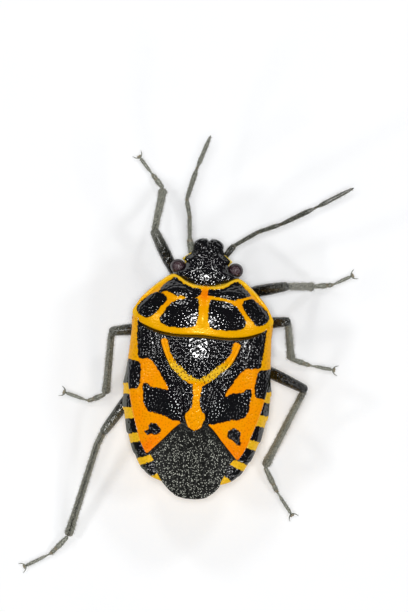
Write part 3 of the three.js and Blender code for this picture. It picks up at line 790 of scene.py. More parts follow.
def right_film_inner(y):
    """The right film's hidden edge, 0.4 mm in from where the left film ends."""
    return np.minimum(overlap_edge(y) - 0.4, membrane_edge(y) - 0.05)


def left_film_inner(y):
    """The left film's edge that lies on the right one."""
    return np.minimum(overlap_edge(y), membrane_edge(y))


add_membrane("right", right_film_inner, membrane_edge, 0.075)
add_membrane("left", lambda y: -membrane_edge(y), left_film_inner, 0.035)

# %% [markdown]
# ## Head
#
# The head is a downward-sloping wedge. Two side lobes reach past the middle one and leave a notch at the
# tip, and two grooves part the three lobes. Its whole top is densely pitted and black, with a thin yellow
# line along the side edge in front of each eye. It could be three lobes joined, but their seams would
# show. So it is one pillow with its own top and underside, closed along the rim, and the notch is a bend
# in its front row.

# %% Head
HEAD_REAR = 0.3
NOTCH_X = 0.01
head_half_width = curve(
    (HEAD_REAR, 0.66), (0.5, 0.9), (0.62, 1.02), (0.77, 1.09), (0.88, 1.06), (1.03, 0.84), (1.18, 0.74),
    (1.31, 0.82), (1.42, 0.7), (1.53, 0.56), (1.66, 0.51), (1.8, 0.51), (1.9, 0.45), (1.97, 0.35),
    (HEAD_FRONT, 0.22),
)
head_crest = curve(
    (HEAD_REAR, 2.28), (0.6, 2.34), (0.88, 2.34), (1.2, 2.22), (1.5, 2.06), (1.8, 1.9), (HEAD_FRONT, 1.75),
)
head_rim = curve((HEAD_REAR, 1.92), (1.1, 1.86), (1.5, 1.7), (HEAD_FRONT, 1.54))
head_keel = curve((HEAD_REAR, 1.32), (1.2, 1.26), (HEAD_FRONT, 1.16))
lobe_groove = curve((0.9, 0.26), (1.4, 0.2), (1.8, 0.12), (HEAD_FRONT, 0.06))


def across_head(x, y):
    """How far out a point lies: 0 on the middle line, almost 1 at the head's side edge."""
    return np.abs(x) / (head_half_width(y) + 0.02)


def head_top(x, y):
    """Rim to crest over a dome, with two grooves that part the three lobes, and raised side edges."""
    side = np.abs(x)
    grooves = -0.015 * bump(side - lobe_groove(y), 0.05) * smooth(0.95, 1.2, y)
    notch = -0.05 * bump(x - NOTCH_X, 0.05) * smooth(1.5, 1.8, y)
    lobes = 0.03 * bump(side - 0.28, 0.18) * smooth(1.2, 1.6, y)
    by_the_eyes = 0.1 * oval(side, y, (0.82, 0.8), (0.25, 0.14))
    edge = 0.04 * bump(head_half_width(y) - side - 0.05, 0.06) * smooth(1.15, 1.4, y)
    level = mix(head_rim(y), head_crest(y), dome(across_head(x, y)))
    return level + grooves + notch + lobes + by_the_eyes + edge


def head_bottom(x, y):
    """Rim to keel, with two low cheek plates that hold the root of the beak between them."""
    cheeks = -0.08 * bump(np.abs(x) - 0.17, 0.05) * smooth(0.9, 1.2, y) * smooth(1.9, 1.7, y)
    return mix(head_rim(y) - 0.08, head_keel(y), dome(across_head(x, y))) + cheeks


def head_plan(s, t):
    """Between the two side edges, with a V-shaped notch: y sinks towards the middle at the very front."""
    y = mix(HEAD_REAR, HEAD_FRONT, t)
    x = mix(-head_half_width(y), head_half_width(y), s)
    return x, y - 0.07 * np.clip(1 - np.abs(x - NOTCH_X) / 0.08, 0, 1) * smooth(1.7, HEAD_FRONT, y)


grid, is_top = pillow(
    head_plan, head_top, head_bottom, columns=170, rows=210, under=170, side_edge=30, end_edge=40
)
x, y = grid[..., 0], grid[..., 1]
edge = from_edge(head_half_width, x, y)
yellow_line = 0.026 - np.abs(edge - 0.035) - 0.3 * smooth(1.16, 1.1, y) - 0.3 * smooth(1.5, 1.56, y)
pits = punctures(x, y, radius=0.045, seed=31) * smooth(0.02, 0.06, edge) * smooth(0.0, 0.08, HEAD_FRONT - y)
add_plate("head_shell", "head", "black_cuticle", grid, is_top, yellow_line, -0.4, pits, 1.0)

# %% [markdown]
# ## Compound eyes
#
# Each eye is a dark plum-coloured ball of several hundred lenses. Facets could be a bump texture, but on a
# ball any flat pattern is torn at the poles. A Fibonacci spiral spreads lens centres evenly over a ball
# instead, and each point of the mesh rises by how close it is to the nearest centre.

# %% Compound eyes
def eye_lens():
    """Dark purple-brown lens chitin, very smooth, slightly redder between the lenses; a painted highlight
    lightens the top.
    """
    material, tree, place = new_material("eye_lens_chitin")
    painted_highlight, lens = (node(tree, "Attribute", {"attribute_name": key}) for key in ("painted_highlight", "lens"))
    # painted highlight: the top of each eye is coloured lighter than its dark rim
    highlighted = node(tree, "Mix", {"data_type": "RGBA", 0: painted_highlight, 6: "#1C0E16", 7: "#4A383E"})
    on_lens = node(tree, "MapRange", {"Value": lens, "From Max": 0.6})
    cloud = node(tree, "TexNoise", {"Vector": place, "Scale": per_mm(0.1)})
    rough = {"Value": cloud, "From Min": 0.3, "From Max": 0.7, "To Min": 0.16, "To Max": 0.24}
    finish = {
        "Base Color": node(tree, "Mix", {"data_type": "RGBA", 0: on_lens, 6: "#3A1A20", 7: highlighted}),
        "Roughness": node(tree, "MapRange", rough),
        "Coat Weight": 0.15,
        "Coat Roughness": 0.08,
    }
    relief = node(tree, "TexNoise", {"Vector": place, "Scale": per_mm(RELIEF_GRAIN)})
    finish_material(tree, relief, 0.001, finish)
    return material


def ball_grid(rows, columns):
    """Directions from the centre of a ball, in rings from the bottom pole to the top one."""
    turns = np.arange(columns) / columns * 2 * np.pi
    polar, around = np.meshgrid(np.linspace(np.pi - 0.02, 0.02, rows), turns, indexing="ij")
    return np.stack([np.sin(polar) * np.cos(around), np.sin(polar) * np.sin(around), np.cos(polar)], -1)


def spiral(count):
    """Evenly spread directions: heights in equal steps, each turned by the golden angle."""
    k = np.arange(count)
    height = 1 - (2 * k + 1) / count
    radius, turn = np.sqrt(1 - height**2), k * np.pi * (3 - np.sqrt(5))
    return np.stack([radius * np.cos(turn), radius * np.sin(turn), height], -1)


eye_material = eye_lens()
EYE_CENTRE = np.array([0.945, 1.03, 1.93])
EYE_RADII = np.array([0.245, 0.235, 0.23])
LENSES = 900
directions = ball_grid(90, 128)
closest = (directions.reshape(-1, 3) @ spiral(LENSES).T).max(1).reshape(directions.shape[:2])
lens = np.clip(1 - np.arccos(np.clip(closest, -1, 1)) ** 2 * LENSES / 4, 0, 1)
# painted highlight: 1 on the top of each ball, falling to 0 at about 45 degrees from it
lens_values = {"lens": lens, "painted_highlight": smooth(0.7, 0.97, directions[..., 2])}
for name, side in SIDES.items():
    grid = directions * EYE_RADII * (1 + 0.02 * lens[..., None]) + EYE_CENTRE * [side, 1, 1]
    add_piece(f"compound_eye_{name}", grid, eye_material, [f"eye_{name}"], lens_values)

# %% [markdown]
# ## Underbody
#
# The thorax and the abdomen close the body from below. The abdomen's rim shows as the banded edge beside
# the wings, black and yellow in turn, one band of each for every segment. The belly has a low step at each
# segment's rear edge and rows of dark spots on yellow. Each segment could be a ring of its own, but then
# every joint needs a seam. So each of the two is one pillow, whose top hides under the shields, with its
# steps in the height.

# %% Abdomen with its banded edge
ABDOMEN_FRONT = -1.95
TAIL_ROUNDING = 0.4
SEGMENT_ENDS = np.array([-2.95, -3.75, -4.5, -5.15, -5.65])
BLACK_BANDS = [(-2.1, -2.85), (-3.2, -3.65), (-4.02, -4.52), (-4.8, -5.3), (-5.5, -5.88)]


def tail_half_width(y):
    """The body's half width, rounded off at the tail end, with each segment's rear corner a little proud."""
    past = np.clip((ABDOMEN_END + TAIL_ROUNDING - y) / TAIL_ROUNDING, 0, 1)
    corners = sum(0.03 * smooth(end + 0.5, end, y) * smooth(end - 0.06, end, y) for end in SEGMENT_ENDS)
    return body_half_width(y) * np.maximum(0.42, np.sqrt(1 - past**3)) + corners - 0.02


def wing_edge(y):
    """Half width of the folded wings: the film's outline at the rear, the leather's in front of it."""
    return np.where(y < FILM_START, membrane_half_width(y), wing_half_width(y))


def abdomen_top(x, y):
    """The back, sunk under the wings, with a groove across the edge at each segment."""
    hidden = -0.16 * smooth(0.02, -0.14, np.abs(x) - wing_edge(y))
    grooves = sum(-0.02 * bump(y - end, 0.025) for end in SEGMENT_ENDS)
    return back(x, y) - 0.05 + hidden + grooves


def abdomen_bottom(x, y):
    """The belly, with a low step up at each segment's rear edge."""
    step = sum(smooth(end, end - 0.05, y) * smooth(end - 0.75, end - 0.1, y) for end in SEGMENT_ENDS)
    return belly(x, y) + 0.035 * step * dome(across_body(x, y))


def belly_spot(x, y, end):
    """A round spot near each side and a lying oval on the middle line of the segment that ends at end."""
    side = np.abs(x)
    round_spot = 0.16 - np.hypot(side - body_half_width(end) * 0.72, (y - end - 0.36) * 1.1)
    middle_spot = 0.3 - 0.25 * side**2 - np.abs(y - end - 0.4) * 1.5 - 0.4 * side
    return union(round_spot, middle_spot)


grid, is_top = pillow(
    between(ABDOMEN_END, ABDOMEN_FRONT, lambda y: -tail_half_width(y), tail_half_width),
    abdomen_top, abdomen_bottom, columns=240, rows=260, under=110, side_edge=30, end_edge=24,
)
x, y = grid[..., 0], grid[..., 1]
from_side = from_edge(body_half_width, x, y)
lean = (body_half_width(y + 0.05) - body_half_width(y - 0.05)) / 0.1
slant = y + np.where(x < 0, 0.06, 0.0) - 0.8 * lean / (1 + lean**2) * from_side
bands = union(*((high - low) / 2 - np.abs(slant - (high + low) / 2) for high, low in BLACK_BANDS))
belly_spots = union(*(belly_spot(x, y, end) for end in SEGMENT_ENDS))
pits = punctures(x, y, radius=0.045, seed=41) * smooth(0.02, 0.06, from_edge(tail_half_width, x, y))
pits *= np.where(bands > 0, 1, 0.35)
olive = smooth(0.2, 0.04, from_side) * np.where(x < 0, 0.6, 0.15)
pigment = np.where(is_top, -bands, -belly_spots)
add_plate("abdomen_shell", "abdomen", "orange_cuticle", grid, is_top, pigment, -0.12, pits, 1.0, olive=olive)

# %% Thorax with its side plates
PLATE_EDGES = ((-0.42, 0.3), (-1.42, 0.2))  # where each groove crosses the middle line, and its slant


def thorax_top(x, y):
    """Hidden under the shields: a little below the back at the rim, half a millimetre below it inside."""
    return back(x, y) - 0.1 - 0.4 * smooth(0.0, 0.3, from_edge(body_half_width, x, y))


def thorax_bottom(x, y):
    """The belly, with slanting grooves between the three plates and a trough in the middle for the beak."""
    side = np.abs(x)
    grooves = sum(0.05 * bump(y - at + lean * side / 2, 0.04) for at, lean in PLATE_EDGES)
    return belly(x, y) + grooves + 0.2 * bump(x, 0.2)


grid, is_top = pillow(
    between(-2.3, 0.55, lambda y: 0.03 - body_half_width(y), lambda y: body_half_width(y) - 0.03),
    thorax_top, thorax_bottom, columns=60, rows=150, under=240, side_edge=24, end_edge=14,
)
x, y = grid[..., 0], grid[..., 1]
plate_rims = union(*(0.05 - np.abs(y - at - 0.09 + lean * np.abs(x) / 2) for at, lean in PLATE_EDGES))
plate_rims = np.where(np.abs(x) > 1.1, plate_rims, -FAR)
outer_rim = 0.16 - from_edge(body_half_width, x, y)
pits = punctures(x, y, seed=51)
grid[..., 2] += 0.015 * pits * ~is_top
values = pigment_values(x, y, True, union(plate_rims, outer_rim), 0.1, pits)
add_piece("thorax_shell", grid, shell, ["thorax"], values)

# %% [markdown]
# ## Feelers, beak and legs
#
# Limbs are tubes of shell with a joint wherever they bend. They could be curve objects with a bevel, but
# then their points can't store numbers. So each is a profile carried along a path: a ring of points at
# every station, square to the path, with the radius that a profile curve gives there. The thigh is black
# like the body, and the shin and foot are grey-olive with lengthwise grooves and short pale hairs that
# soften their outline.


# %% Limb shell and bristles
def limb_cuticle():
    """Grey-olive shell, browner and paler at the joints, black where the stored value "dark" is 1."""
    material, tree, place = new_material("limb_cuticle")
    dark, joint = (node(tree, "Attribute", {"attribute_name": key}) for key in ("dark", "joint"))
    fine = node(tree, "TexNoise", {"Vector": place, "Scale": per_mm(0.04), "Roughness": 0.6})
    lumps = node(tree, "MapRange", {"Value": fine, "From Min": 0.4, "From Max": 0.6})
    olive = node(tree, "Mix", {"data_type": "RGBA", 0: lumps, 6: "#4A4C40", 7: "#AEB0A2"})
    jointed = node(tree, "Mix", {"data_type": "RGBA", 0: joint, 6: olive, 7: "#8A7A5C"})
    rough = {"Value": dark, "From Min": 0.2, "From Max": 0.9, "To Min": 0.42, "To Max": 0.16}
    finish = {
        "Base Color": node(tree, "Mix", {"data_type": "RGBA", 0: dark, 6: jointed, 7: "#0C0C0A"}),
        "Roughness": node(tree, "MapRange", rough),
        "Coat Weight": 0.1,
        "Coat Roughness": 0.2,
    }
    finish_material(tree, fine, 0.003, finish)
    return material


def clouded(name, colours, cloud_mm, roughness, rough_mm, relief_mm, more):
    """A finish whose colour and roughness each drift between two values, in clouds of their own size."""
    material, tree, place = new_material(name)
    sizes = (cloud_mm, rough_mm, RELIEF_GRAIN)
    tint, wear, relief = (node(tree, "TexNoise", {"Vector": place, "Scale": per_mm(size)}) for size in sizes)
    rough = {"Value": wear, "From Min": 0.3, "From Max": 0.7, "To Min": roughness[0], "To Max": roughness[1]}
    finish = {
        "Base Color": node(tree, "Mix", {"data_type": "RGBA", 0: tint, 6: colours[0], 7: colours[1]}),
        "Roughness": node(tree, "MapRange", rough),
    }
    finish_material(tree, relief, relief_mm, finish | more)
    return material


limb = limb_cuticle()
# Thin chitin without pigment lets light through and looks straw-grey
bristle = clouded("pale_bristle", ("#8F8C7A", "#C9C6B6"), 0.4, (0.4, 0.5), 0.3, 0.0005, {})
print("limb shell:", len(limb.node_tree.nodes), "nodes")


# %% Tubes along a path
def unit(vectors):
    """The same directions with length 1."""
    return vectors / np.linalg.norm(vectors, axis=-1, keepdims=True)


def stretches(points):
    """The length of each straight stretch of a path."""
    return np.linalg.norm(np.diff(np.array(points, float), axis=0), axis=1)


TUBE_STEP = 0.035


def carry(points, lengthwise, sides, keels=0.0, step=TUBE_STEP):
    """Rings along a path, a step apart. lengthwise gives the radius at each share of the way.

    A ring is the path's point plus radius times (cosine across, sine over), where across is level and over
    is square to both. keels raises four lengthwise ridges by that share of the radius. The path is straight
    between its points apart from a short rounding at each. Returns the rings, their outward directions and
    the share of the way at each ring.
    """
    points = np.array(points, float)
    lengths = stretches(points)
    at = np.concatenate([[0], np.cumsum(lengths)]) / lengths.sum()
    rows = max(12, int(lengths.sum() / step))
    share = np.linspace(0, 1, rows)
    centres = np.stack([np.interp(share, at, points[:, axis]) for axis in range(3)], -1)
    for _ in range(round(6 * (TUBE_STEP / step) ** 2)):
        centres[1:-1] = (centres[:-2] + 2 * centres[1:-1] + centres[2:]) / 4
    along = unit(np.gradient(centres, axis=0))
    across = unit(np.cross(along, [0, 0, 1]))
    over = np.cross(across, along)
    angle = np.arange(sides)[::-1] / sides * 2 * np.pi
    radius = lengthwise(share)[:, None] * (1 + keels * np.cos(4 * angle))
    ring = np.cos(angle)[None, :, None] * across[:, None] + np.sin(angle)[None, :, None] * over[:, None]
    return centres[:, None] + radius[..., None] * ring, ring, share


def round_ends(share, length, radius):
    """Factor that closes a tube of that length with a quarter circle of the given radius at each end."""
    ends = (np.clip(way * length / radius, 0, 1) for way in (share, 1 - share))
    return np.prod([np.sqrt(1 - (1 - end) ** 2 + 1e-4) for end in ends], axis=0)


def add_limb(name, cad_nodes, grid, dark, joint):
    """A piece of limb shell: dark is 1 where it is black, joint 1 where it is pale like skin."""
    add_piece(name, grid, limb, cad_nodes, {"dark": dark, "joint": joint})


tube, _, _ = carry([(0, 0, 0), (1, 0, 0)], np.ones_like, 12)
print("a tube 1 mm long has", len(tube), "rings")

# %% Bristles
BRISTLE_LEAN = 0.6
BRISTLE_RADIUS = 0.007
PATCH = 0.0015  # half the width of a bristle's patch on its UV map
bristle_store = {}


def grow_bristles(group, grid, ring, count, length, seed):
    """Notes count bristles on a tube: each starts on the surface and leans forwards along the limb."""
    random = np.random.default_rng(seed)
    rows, columns, _ = grid.shape
    row, column = random.integers(2, rows - 2, count), random.integers(0, columns, count)
    along = unit(grid[row + 1, column] - grid[row - 1, column])
    direction = unit(ring[row, column] + BRISTLE_LEAN * along + random.normal(0, 0.15, (count, 3)))
    size = length * random.uniform(0.6, 1.2, (count, 1))
    bristle_store.setdefault(group, []).append((grid[row, column] - 0.01 * direction, direction * size))


def add_bristles(group):
    """One mesh of slim spikes from the notes of grow_bristles, each a triangle drawn out to a point."""
    roots, reach = (np.concatenate(part) for part in zip(*bristle_store[group]))
    side = unit(np.cross(reach, [0.3, 0.2, 1.0])) * BRISTLE_RADIUS
    other = unit(np.cross(reach, side)) * BRISTLE_RADIUS
    base = [roots + side, roots - side / 2 + 0.87 * other, roots - side / 2 - 0.87 * other]
    vertices = np.stack([*base, roots + reach], 1).reshape(-1, 3)
    vertices[:, 2] = np.maximum(vertices[:, 2], 0.0)
    spike = np.array([[0, 1, 3], [1, 2, 3], [2, 0, 3], [0, 2, 1]])
    faces = (np.arange(len(roots))[:, None, None] * 4 + spike).reshape(-1, 3)
    mesh = make_mesh(f"bristles_{group}", vertices, faces)
    across = math.ceil(math.sqrt(len(roots)))
    spike_of = np.repeat(np.arange(len(roots)), spike.size)
    patch = np.tile(np.array([(-1, -1), (1, -1), (0, 1)]) * PATCH, (len(roots) * len(spike), 1))
    uv = np.stack([spike_of % across + 0.5, spike_of // across + 0.5], -1) / across + patch
    mesh.uv_layers.new(name="OFBake").data.foreach_set("uv", uv.astype(np.float32).ravel())
    finish_piece(f"bristles_{group}", mesh, bristle, [])


print("a bristle is", 2 * BRISTLE_RADIUS, "mm thick at its root")

# %% Feelers
ANTENNAE = {
    "left": [
        (-0.5, 1.36, 1.6), (-0.63, 1.93, 1.82), (-0.69, 2.68, 2.25), (-0.83, 3.22, 2.5),
        (-0.57, 4.26, 2.95), (-0.21, 5.34, 3.3),
    ],
    "right": [
        (0.5, 1.36, 1.6), (0.82, 1.83, 1.72), (1.58, 2.35, 1.95), (2.3, 2.65, 2.1), (3.39, 3.28, 2.35),
        (4.58, 4.02, 2.45),
    ],
}
SEGMENT_RADII = [0.1, 0.066, 0.068, 0.074, 0.068]
NECKS = [0.85, 0.98, 0.95, 0.8, 0.55, 0.4]  # how thick each end of a segment is, as a share of its radius
FEELER_DARKNESS = {"left": (0.36, 0.33), "right": (0.95, 0.72)}  # of the first segment and of the others


def add_antenna(name, points):
    """Five spindles end to end, the joints between them thin and pale, the last one drawn out to a point."""
    lengths = stretches(points)
    ends = np.concatenate([[0], np.cumsum(lengths)]) / lengths.sum()
    stations = [(0.0, 0.05)]
    for i, radius in enumerate(SEGMENT_RADII):
        shoulder = 0.8 if i == len(SEGMENT_RADII) - 1 else 1.04
        profile = ((0.04, NECKS[i]), (0.15, 0.95), (0.45, 1.0), (0.8, shoulder), (0.96, NECKS[i + 1]))
        stations += [(mix(ends[i], ends[i + 1], share), radius * factor) for share, factor in profile]
    stations.append((1.0, 0.012))
    grid, ring, share = carry(points, curve(*stations), 20)
    grow_bristles("feelers", grid, ring, 1100, 0.07, seed=SIDES[name] + 5)
    joint = np.clip(sum(bump(share - end, 0.006) for end in ends[1:-1]), 0, 1)
    dark = mix(*FEELER_DARKNESS[name], smooth(ends[1] - 0.01, ends[1] + 0.01, share))
    add_limb(f"feeler_{name}", [f"antenna_{name}"], grid, dark[:, None], joint[:, None])


for name, points in ANTENNAE.items():
    add_antenna(name, points)

# %% Beak
BEAK = [(0, 1.72, 1.16), (0, 0.9, 1.04), (0, 0.1, 0.9), (0, -0.75, 0.78), (0, -1.35, 0.72)]
BEAK_JOINTS = (0.28, 0.52, 0.8)
beak_profile = curve(
    (0, 0.12), (0.1, 0.15), (0.26, 0.12), (0.28, 0.1), (0.3, 0.12), (0.5, 0.115), (0.52, 0.095),
    (0.54, 0.11), (0.78, 0.095), (0.8, 0.08), (0.82, 0.09), (0.97, 0.05), (1, 0.02),
)
grid, ring, share = carry(BEAK, beak_profile, 24)
joint = sum(bump(share - at, 0.012) for at in BEAK_JOINTS)
add_limb("beak_sheath", ["beak"], grid, 0.5, joint[:, None])

# %% [markdown]
# ## Legs
#
# Each leg is a hip, a thigh, a shin, a foot of three segments, two claws and two pads. The six could be
# copies of one leg turned into place, but each stands in its own pose and is seen at its own slant. So a
# leg is three places in space, its hip, the turn after it and its knee, and three places on the floor's
# plan, its ankle, instep and toe. The plan places were measured at the scale of the back, which is nearer
# to the lens than the feet are.

# %% Places of the legs
LEGS = {
    "fore_left": (
        [(-0.62, 0.2, 0.84), (-0.88, 0.52, 0.74), (-1.81, 2.12, 1.0)],
        [(-1.62, 3.52), (-1.99, 3.93), (-2.45, 4.46)],
    ),
    "fore_right": (
        [(0.62, 0.2, 0.84), (1.0, 0.24, 0.78), (2.64, 0.65, 1.5)],
        [(3.52, 0.71), (4.13, 0.81), (4.72, 1.14)],
    ),
    "middle_left": (
        [(-0.68, -0.85, 0.8), (-1.05, -0.92, 0.68), (-2.95, -1.27, 0.98)],
        [(-2.97, -3.32), (-3.51, -3.59), (-4.28, -3.38)],
    ),
    "middle_right": (
        [(0.68, -0.85, 0.8), (1.05, -0.76, 0.72), (2.78, -0.5, 1.72)],
        [(2.98, -1.7), (3.575, -1.86), (4.35, -1.95)],
    ),
    "hind_left": (
        [(-0.78, -1.72, 0.8), (-1.3, -1.95, 0.68), (-2.96, -4.58, 0.98)],
        [(-3.84, -8.06), (-4.335, -8.65), (-5.13, -9.12)],
    ),
    "hind_right": (
        [(0.78, -1.72, 0.8), (1.25, -1.78, 0.72), (3.5, -2.66, 2.0)],
        [(2.4, -5.28), (2.85, -6.05), (3.375, -6.75)],
    ),
}
KNEE_DARKNESS = {"fore_right": 0.8, "middle_right": 0.95, "hind_right": 1.0}
PALE_KNEE = 0.6  # the darkness of the other knees
SHIN_BOW = {"hind_left": -0.07}  # how far this shin bends out of the straight line
FOCUS_HEIGHT = 2.0
FRAME_HEIGHT = 20.01
LENS = 400.0
SENSOR = 36.0
CAMERA_DISTANCE = FRAME_HEIGHT * LENS / SENSOR


def seen(place, height):
    """A place measured at the scale of the back, moved out to where it is at its own height."""
    scale = 1 + (FOCUS_HEIGHT - height) / CAMERA_DISTANCE
    return np.array([place[0] * scale, place[1] * scale, height])


print("a foot is drawn", round(FOCUS_HEIGHT / CAMERA_DISTANCE * 100, 1), "% smaller than the back")

# %% Hips and thighs
COXA_RADIUS = 0.27
FEMUR_RADIUS = 0.19
FEMUR_SIDES = 96
FEMUR_STEP = 0.014


def add_coxa(name, hip):
    """Rounded hip that turns in its socket, black and pitted like the body."""
    grid = directions[::2, ::2] * COXA_RADIUS + hip
    values = {"pigment": -0.1, "warmth": 0, "pit": punctures(grid[..., 0], grid[..., 1], seed=61)}
    add_piece(f"hip_{name}", grid, shell, [f"coxa_{name}"], values)


def add_femur(name, hip, trochanter, knee):
    """Short trochanter and long spindle-shaped thigh, black near the body and greyer towards the knee."""
    lengths = stretches([hip, trochanter, knee])
    turn, length = lengths[0] / lengths.sum(), lengths.sum()
    profile = curve(
        (0, 0.14), (turn * 0.5, 0.15), (turn * 0.95, 0.15), (turn + 0.04, 0.125), (turn + 0.12, 0.14),
        (mix(turn, 1, 0.45), FEMUR_RADIUS), (mix(turn, 1, 0.8), FEMUR_RADIUS * 0.9), (0.97, 0.14), (1, 0.12),
    )
    points = [hip, trochanter, knee + 0.1 * unit(knee - trochanter)]
    grid, ring, share = carry(
        points, lambda s: profile(s) * round_ends(s, length, 0.12), FEMUR_SIDES, step=FEMUR_STEP
    )
    share = share[:, None]
    around = np.arange(FEMUR_SIDES) / FEMUR_SIDES * 2 * np.pi * FEMUR_RADIUS
    pits = punctures(*np.broadcast_arrays(around, share * length), spacing=0.11, radius=0.052, seed=71)
    grid -= 0.012 * pits[..., None] * ring
    grow_bristles("legs", grid, ring, 380, 0.06, seed=len(name))
    dark = mix(KNEE_DARKNESS.get(name, PALE_KNEE), 1.0, smooth(1.0, 0.6, share))
    add_limb(f"thigh_{name}", [f"femur_{name}"], grid, dark, 0)


print("a thigh's ring has", FEMUR_SIDES, "points, enough for its pits")

# %% Shins and feet
SHIN_END_HEIGHT = 0.2
FOOT_HEIGHTS = (0.19, 0.09, 0.07)
TARSUS_RADIUS = 0.075


def add_tibia(name, knee, ankle):
    """Four-keeled shin that widens towards the ankle, with rows of bristles."""
    ankle = seen(ankle, SHIN_END_HEIGHT)
    length = stretches([knee, ankle]).sum()
    profile = curve((0, 0.1), (0.1, 0.098), (0.5, 0.105), (0.85, 0.115), (0.96, 0.128), (1, 0.115))
    bow = mix(knee, ankle, 0.12) + [SHIN_BOW.get(name, 0.0), 0, 0.05]
    points = [knee, bow, ankle]
    grid, ring, share = carry(points, lambda s: profile(s) * round_ends(s, length, 0.1), 32, keels=0.09)
    share = share[:, None]
    grow_bristles("legs", grid, ring, int(340 * length), 0.085, seed=len(name) + 40)
    black_knee = (KNEE_DARKNESS.get(name, PALE_KNEE) - PALE_KNEE) * smooth(0.16, 0.08, share)
    dark = 0.3 + 0.5 * bump(ring[..., 2] - 0.97, 0.06) + black_knee
    joint = 0.5 * (bump(share, 0.03) + bump(share - 1, 0.03))
    add_limb(f"shin_{name}", [f"tibia_{name}"], grid, dark, joint)


def add_tarsus(name, foot):
    """The foot: a thick part up to the instep and a thinner one to the toe, with waists between segments."""
    points = [seen(place, height) for place, height in zip(foot, FOOT_HEIGHTS)]
    lengths = stretches(points)
    turn, length = lengths[0] / lengths.sum(), lengths.sum()
    waist = 0.72 * turn
    profile = curve(
        (0, 0.06), (waist * 0.4, TARSUS_RADIUS), (waist * 0.95, TARSUS_RADIUS), (waist, 0.065),
        (mix(waist, turn, 0.5), TARSUS_RADIUS), (turn * 0.97, 0.066), (turn + 0.02, 0.042),
        (mix(turn, 1, 0.4), 0.05), (mix(turn, 1, 0.85), 0.052), (1, 0.045),
    )
    grid, ring, share = carry(points, lambda s: profile(s) * round_ends(s, length, 0.05), 24)
    grid[..., 2] = np.maximum(grid[..., 2], 0.004)
    grow_bristles("legs", grid, ring, 260, 0.06, seed=len(name) + 80)
    joint = np.clip(bump(share - waist, 0.02) + bump(share - turn, 0.02), 0, 1)
    add_limb(f"foot_{name}", [f"tarsus_{name}"], grid, 0.22, joint[:, None])


print("the feet lie", FOOT_HEIGHTS, "mm above the floor at ankle, instep and toe")

# %% Claws and pads, and all six legs
CLAW_ROOT_HEIGHT = 0.075
CLAW_LENGTH = 0.26
PAD_RADII = (0.045, 0.045, 0.03)


def level_step(angle, distance):
    """A step of that distance on the level in the direction of angle."""
    return distance * np.array([math.cos(angle), math.sin(angle), 0])


def claw_radius(share):
    """Thickest at the root and thinning to a fine tip."""
    return 0.022 * (1 - share) ** 0.7 + 0.004


def add_claws(name, instep, toe):
    """Two curved claws that spread from the toe and come down to the floor, with a soft pad under each."""
    heading = math.atan2(toe[1] - instep[1], toe[0] - instep[0])
    root = seen(toe, CLAW_ROOT_HEIGHT)
    for side_name, side in SIDES.items():
        middle = root + level_step(heading - side * 1.05, CLAW_LENGTH * 0.55) + [0, 0, 0.02]
        tip = root + level_step(heading - side * 0.72, CLAW_LENGTH) - [0, 0, 0.065]
        claw, _, _ = carry([root, middle, tip], claw_radius, 12)
        claw[..., 2] = np.maximum(claw[..., 2], 0.002)
        add_limb(f"claw_{name}_{side_name}", [], claw, 0.15, 0)
        below = root + level_step(heading - side * 0.45, 0.07) - [0, 0, 0.043]
        pad = directions[::6, ::8] * PAD_RADII + below
        pad[..., 2] = np.maximum(pad[..., 2], 0.001)
        add_limb(f"pad_{name}_{side_name}", [], pad, 0, 0.7)


for name, (upper, foot) in LEGS.items():
    hip, trochanter, knee = np.array(upper)
    add_coxa(name, hip)
    add_femur(name, hip, trochanter, knee)
    add_tibia(name, knee, foot[0])
    add_tarsus(name, foot)
    add_claws(name, *foot[1:])
for group in bristle_store:
    add_bristles(group)

# %% [markdown]
# ## Studio
#
# The picture was taken from straight above against white, with soft light from all sides and a soft lamp
# near the camera, which gives the pale glow on the middle of the scutellum. One evenly bright dome could
# light it, but then the pits would mirror the same white everywhere and lose their sparkle. So small lamps
# stand all round, and the dome is faint. The camera is far off with a long lens, so that legs and back are
# drawn to nearly one scale.

# %% Floor
FLOOR_REACH = 300
glow = {"Specular IOR Level": 0.2, "Emission Color": linear("#FFFFFF"), "Emission Strength": 0.07}
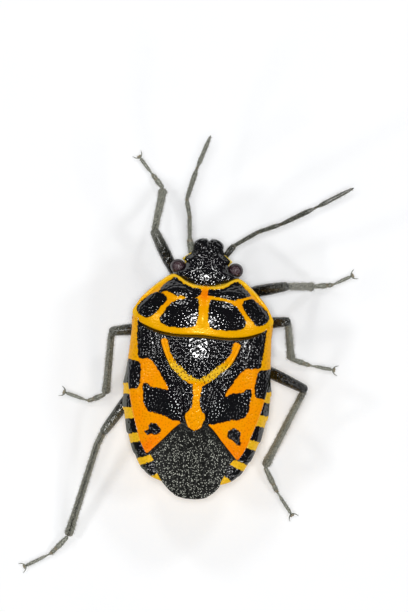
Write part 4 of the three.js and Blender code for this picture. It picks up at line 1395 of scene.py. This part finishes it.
# White card coated with clay, whose index of refraction is that of the shell, and lit a little through
card = clouded("white_card", ("#F4F5F7", "#F8F9FA"), 4.0, (0.85, 0.95), 1.0, 0.002, glow)
corners = np.array([(-1, -1, 0), (1, -1, 0), (1, 1, 0), (-1, 1, 0)]) * float(FLOOR_REACH)
floor_mesh = make_mesh("floor", corners, np.array([[0, 1, 2, 3]]))
floor_mesh.materials.append(card)
floor = bpy.data.objects.new("floor", floor_mesh)
bpy.context.scene.collection.objects.link(floor)
print("floor:", 2 * FLOOR_REACH, "mm square")

# %% Lamps
LAMPS = {  # place and size in millimetres, and watts
    "overhead_lamp": ((-3, 3, 250), 46, 0.315),
    "front_left_lamp": ((-70, 150, 130), 30, 0.05),
    "front_right_lamp": ((70, 150, 130), 30, 0.05),
    "left_lamp": ((-150, 10, 130), 30, 0.05),
    "right_lamp": ((150, 10, 130), 30, 0.05),
    "rear_left_lamp": ((-90, -130, 130), 30, 0.045),
    "rear_right_lamp": ((90, -130, 130), 30, 0.045),
}
LIT_PLACE = np.array([0, -2, 2]) * MM + BODY_ORIGIN


def add_lamp(name, place, size, watts):
    """A square soft box that looks at the bug's back."""
    lamp = bpy.data.lights.new(name, "AREA")
    lamp.size, lamp.energy = size * MM, watts
    holder = bpy.data.objects.new(name, lamp)
    holder.location = np.array(place) * MM + BODY_ORIGIN
    holder.rotation_euler = (holder.location - Vector(LIT_PLACE)).to_track_quat("Z", "Y").to_euler()
    bpy.context.scene.collection.objects.link(holder)


for name, lamp in LAMPS.items():
    add_lamp(name, *lamp)
world = bpy.data.worlds.new("studio")
world.use_nodes = True
world.node_tree.nodes["Background"].inputs["Color"].default_value = linear("#FFFFFF")
world.node_tree.nodes["Background"].inputs["Strength"].default_value = 0.06
bpy.context.scene.world = world
bpy.context.scene.view_settings.view_transform = "Standard"
print(len(LAMPS), "lamps")

# %% Camera
ROLL = math.radians(4.5)
CAMERA_PLACE = np.array([0.006, -0.203, FOCUS_HEIGHT + CAMERA_DISTANCE])
camera_data = bpy.data.cameras.new("camera")
camera_data.lens = LENS
camera_data.sensor_fit = "VERTICAL"
camera_data.sensor_height = SENSOR
camera_data.clip_start, camera_data.clip_end = 0.01, 10.0
camera = bpy.data.objects.new("camera", camera_data)
camera.location = CAMERA_PLACE * MM + BODY_ORIGIN
camera.rotation_euler = (0, 0, ROLL)
bpy.context.scene.collection.objects.link(camera)
bpy.context.scene.camera = camera
print("camera", round(CAMERA_DISTANCE), "mm from the back")
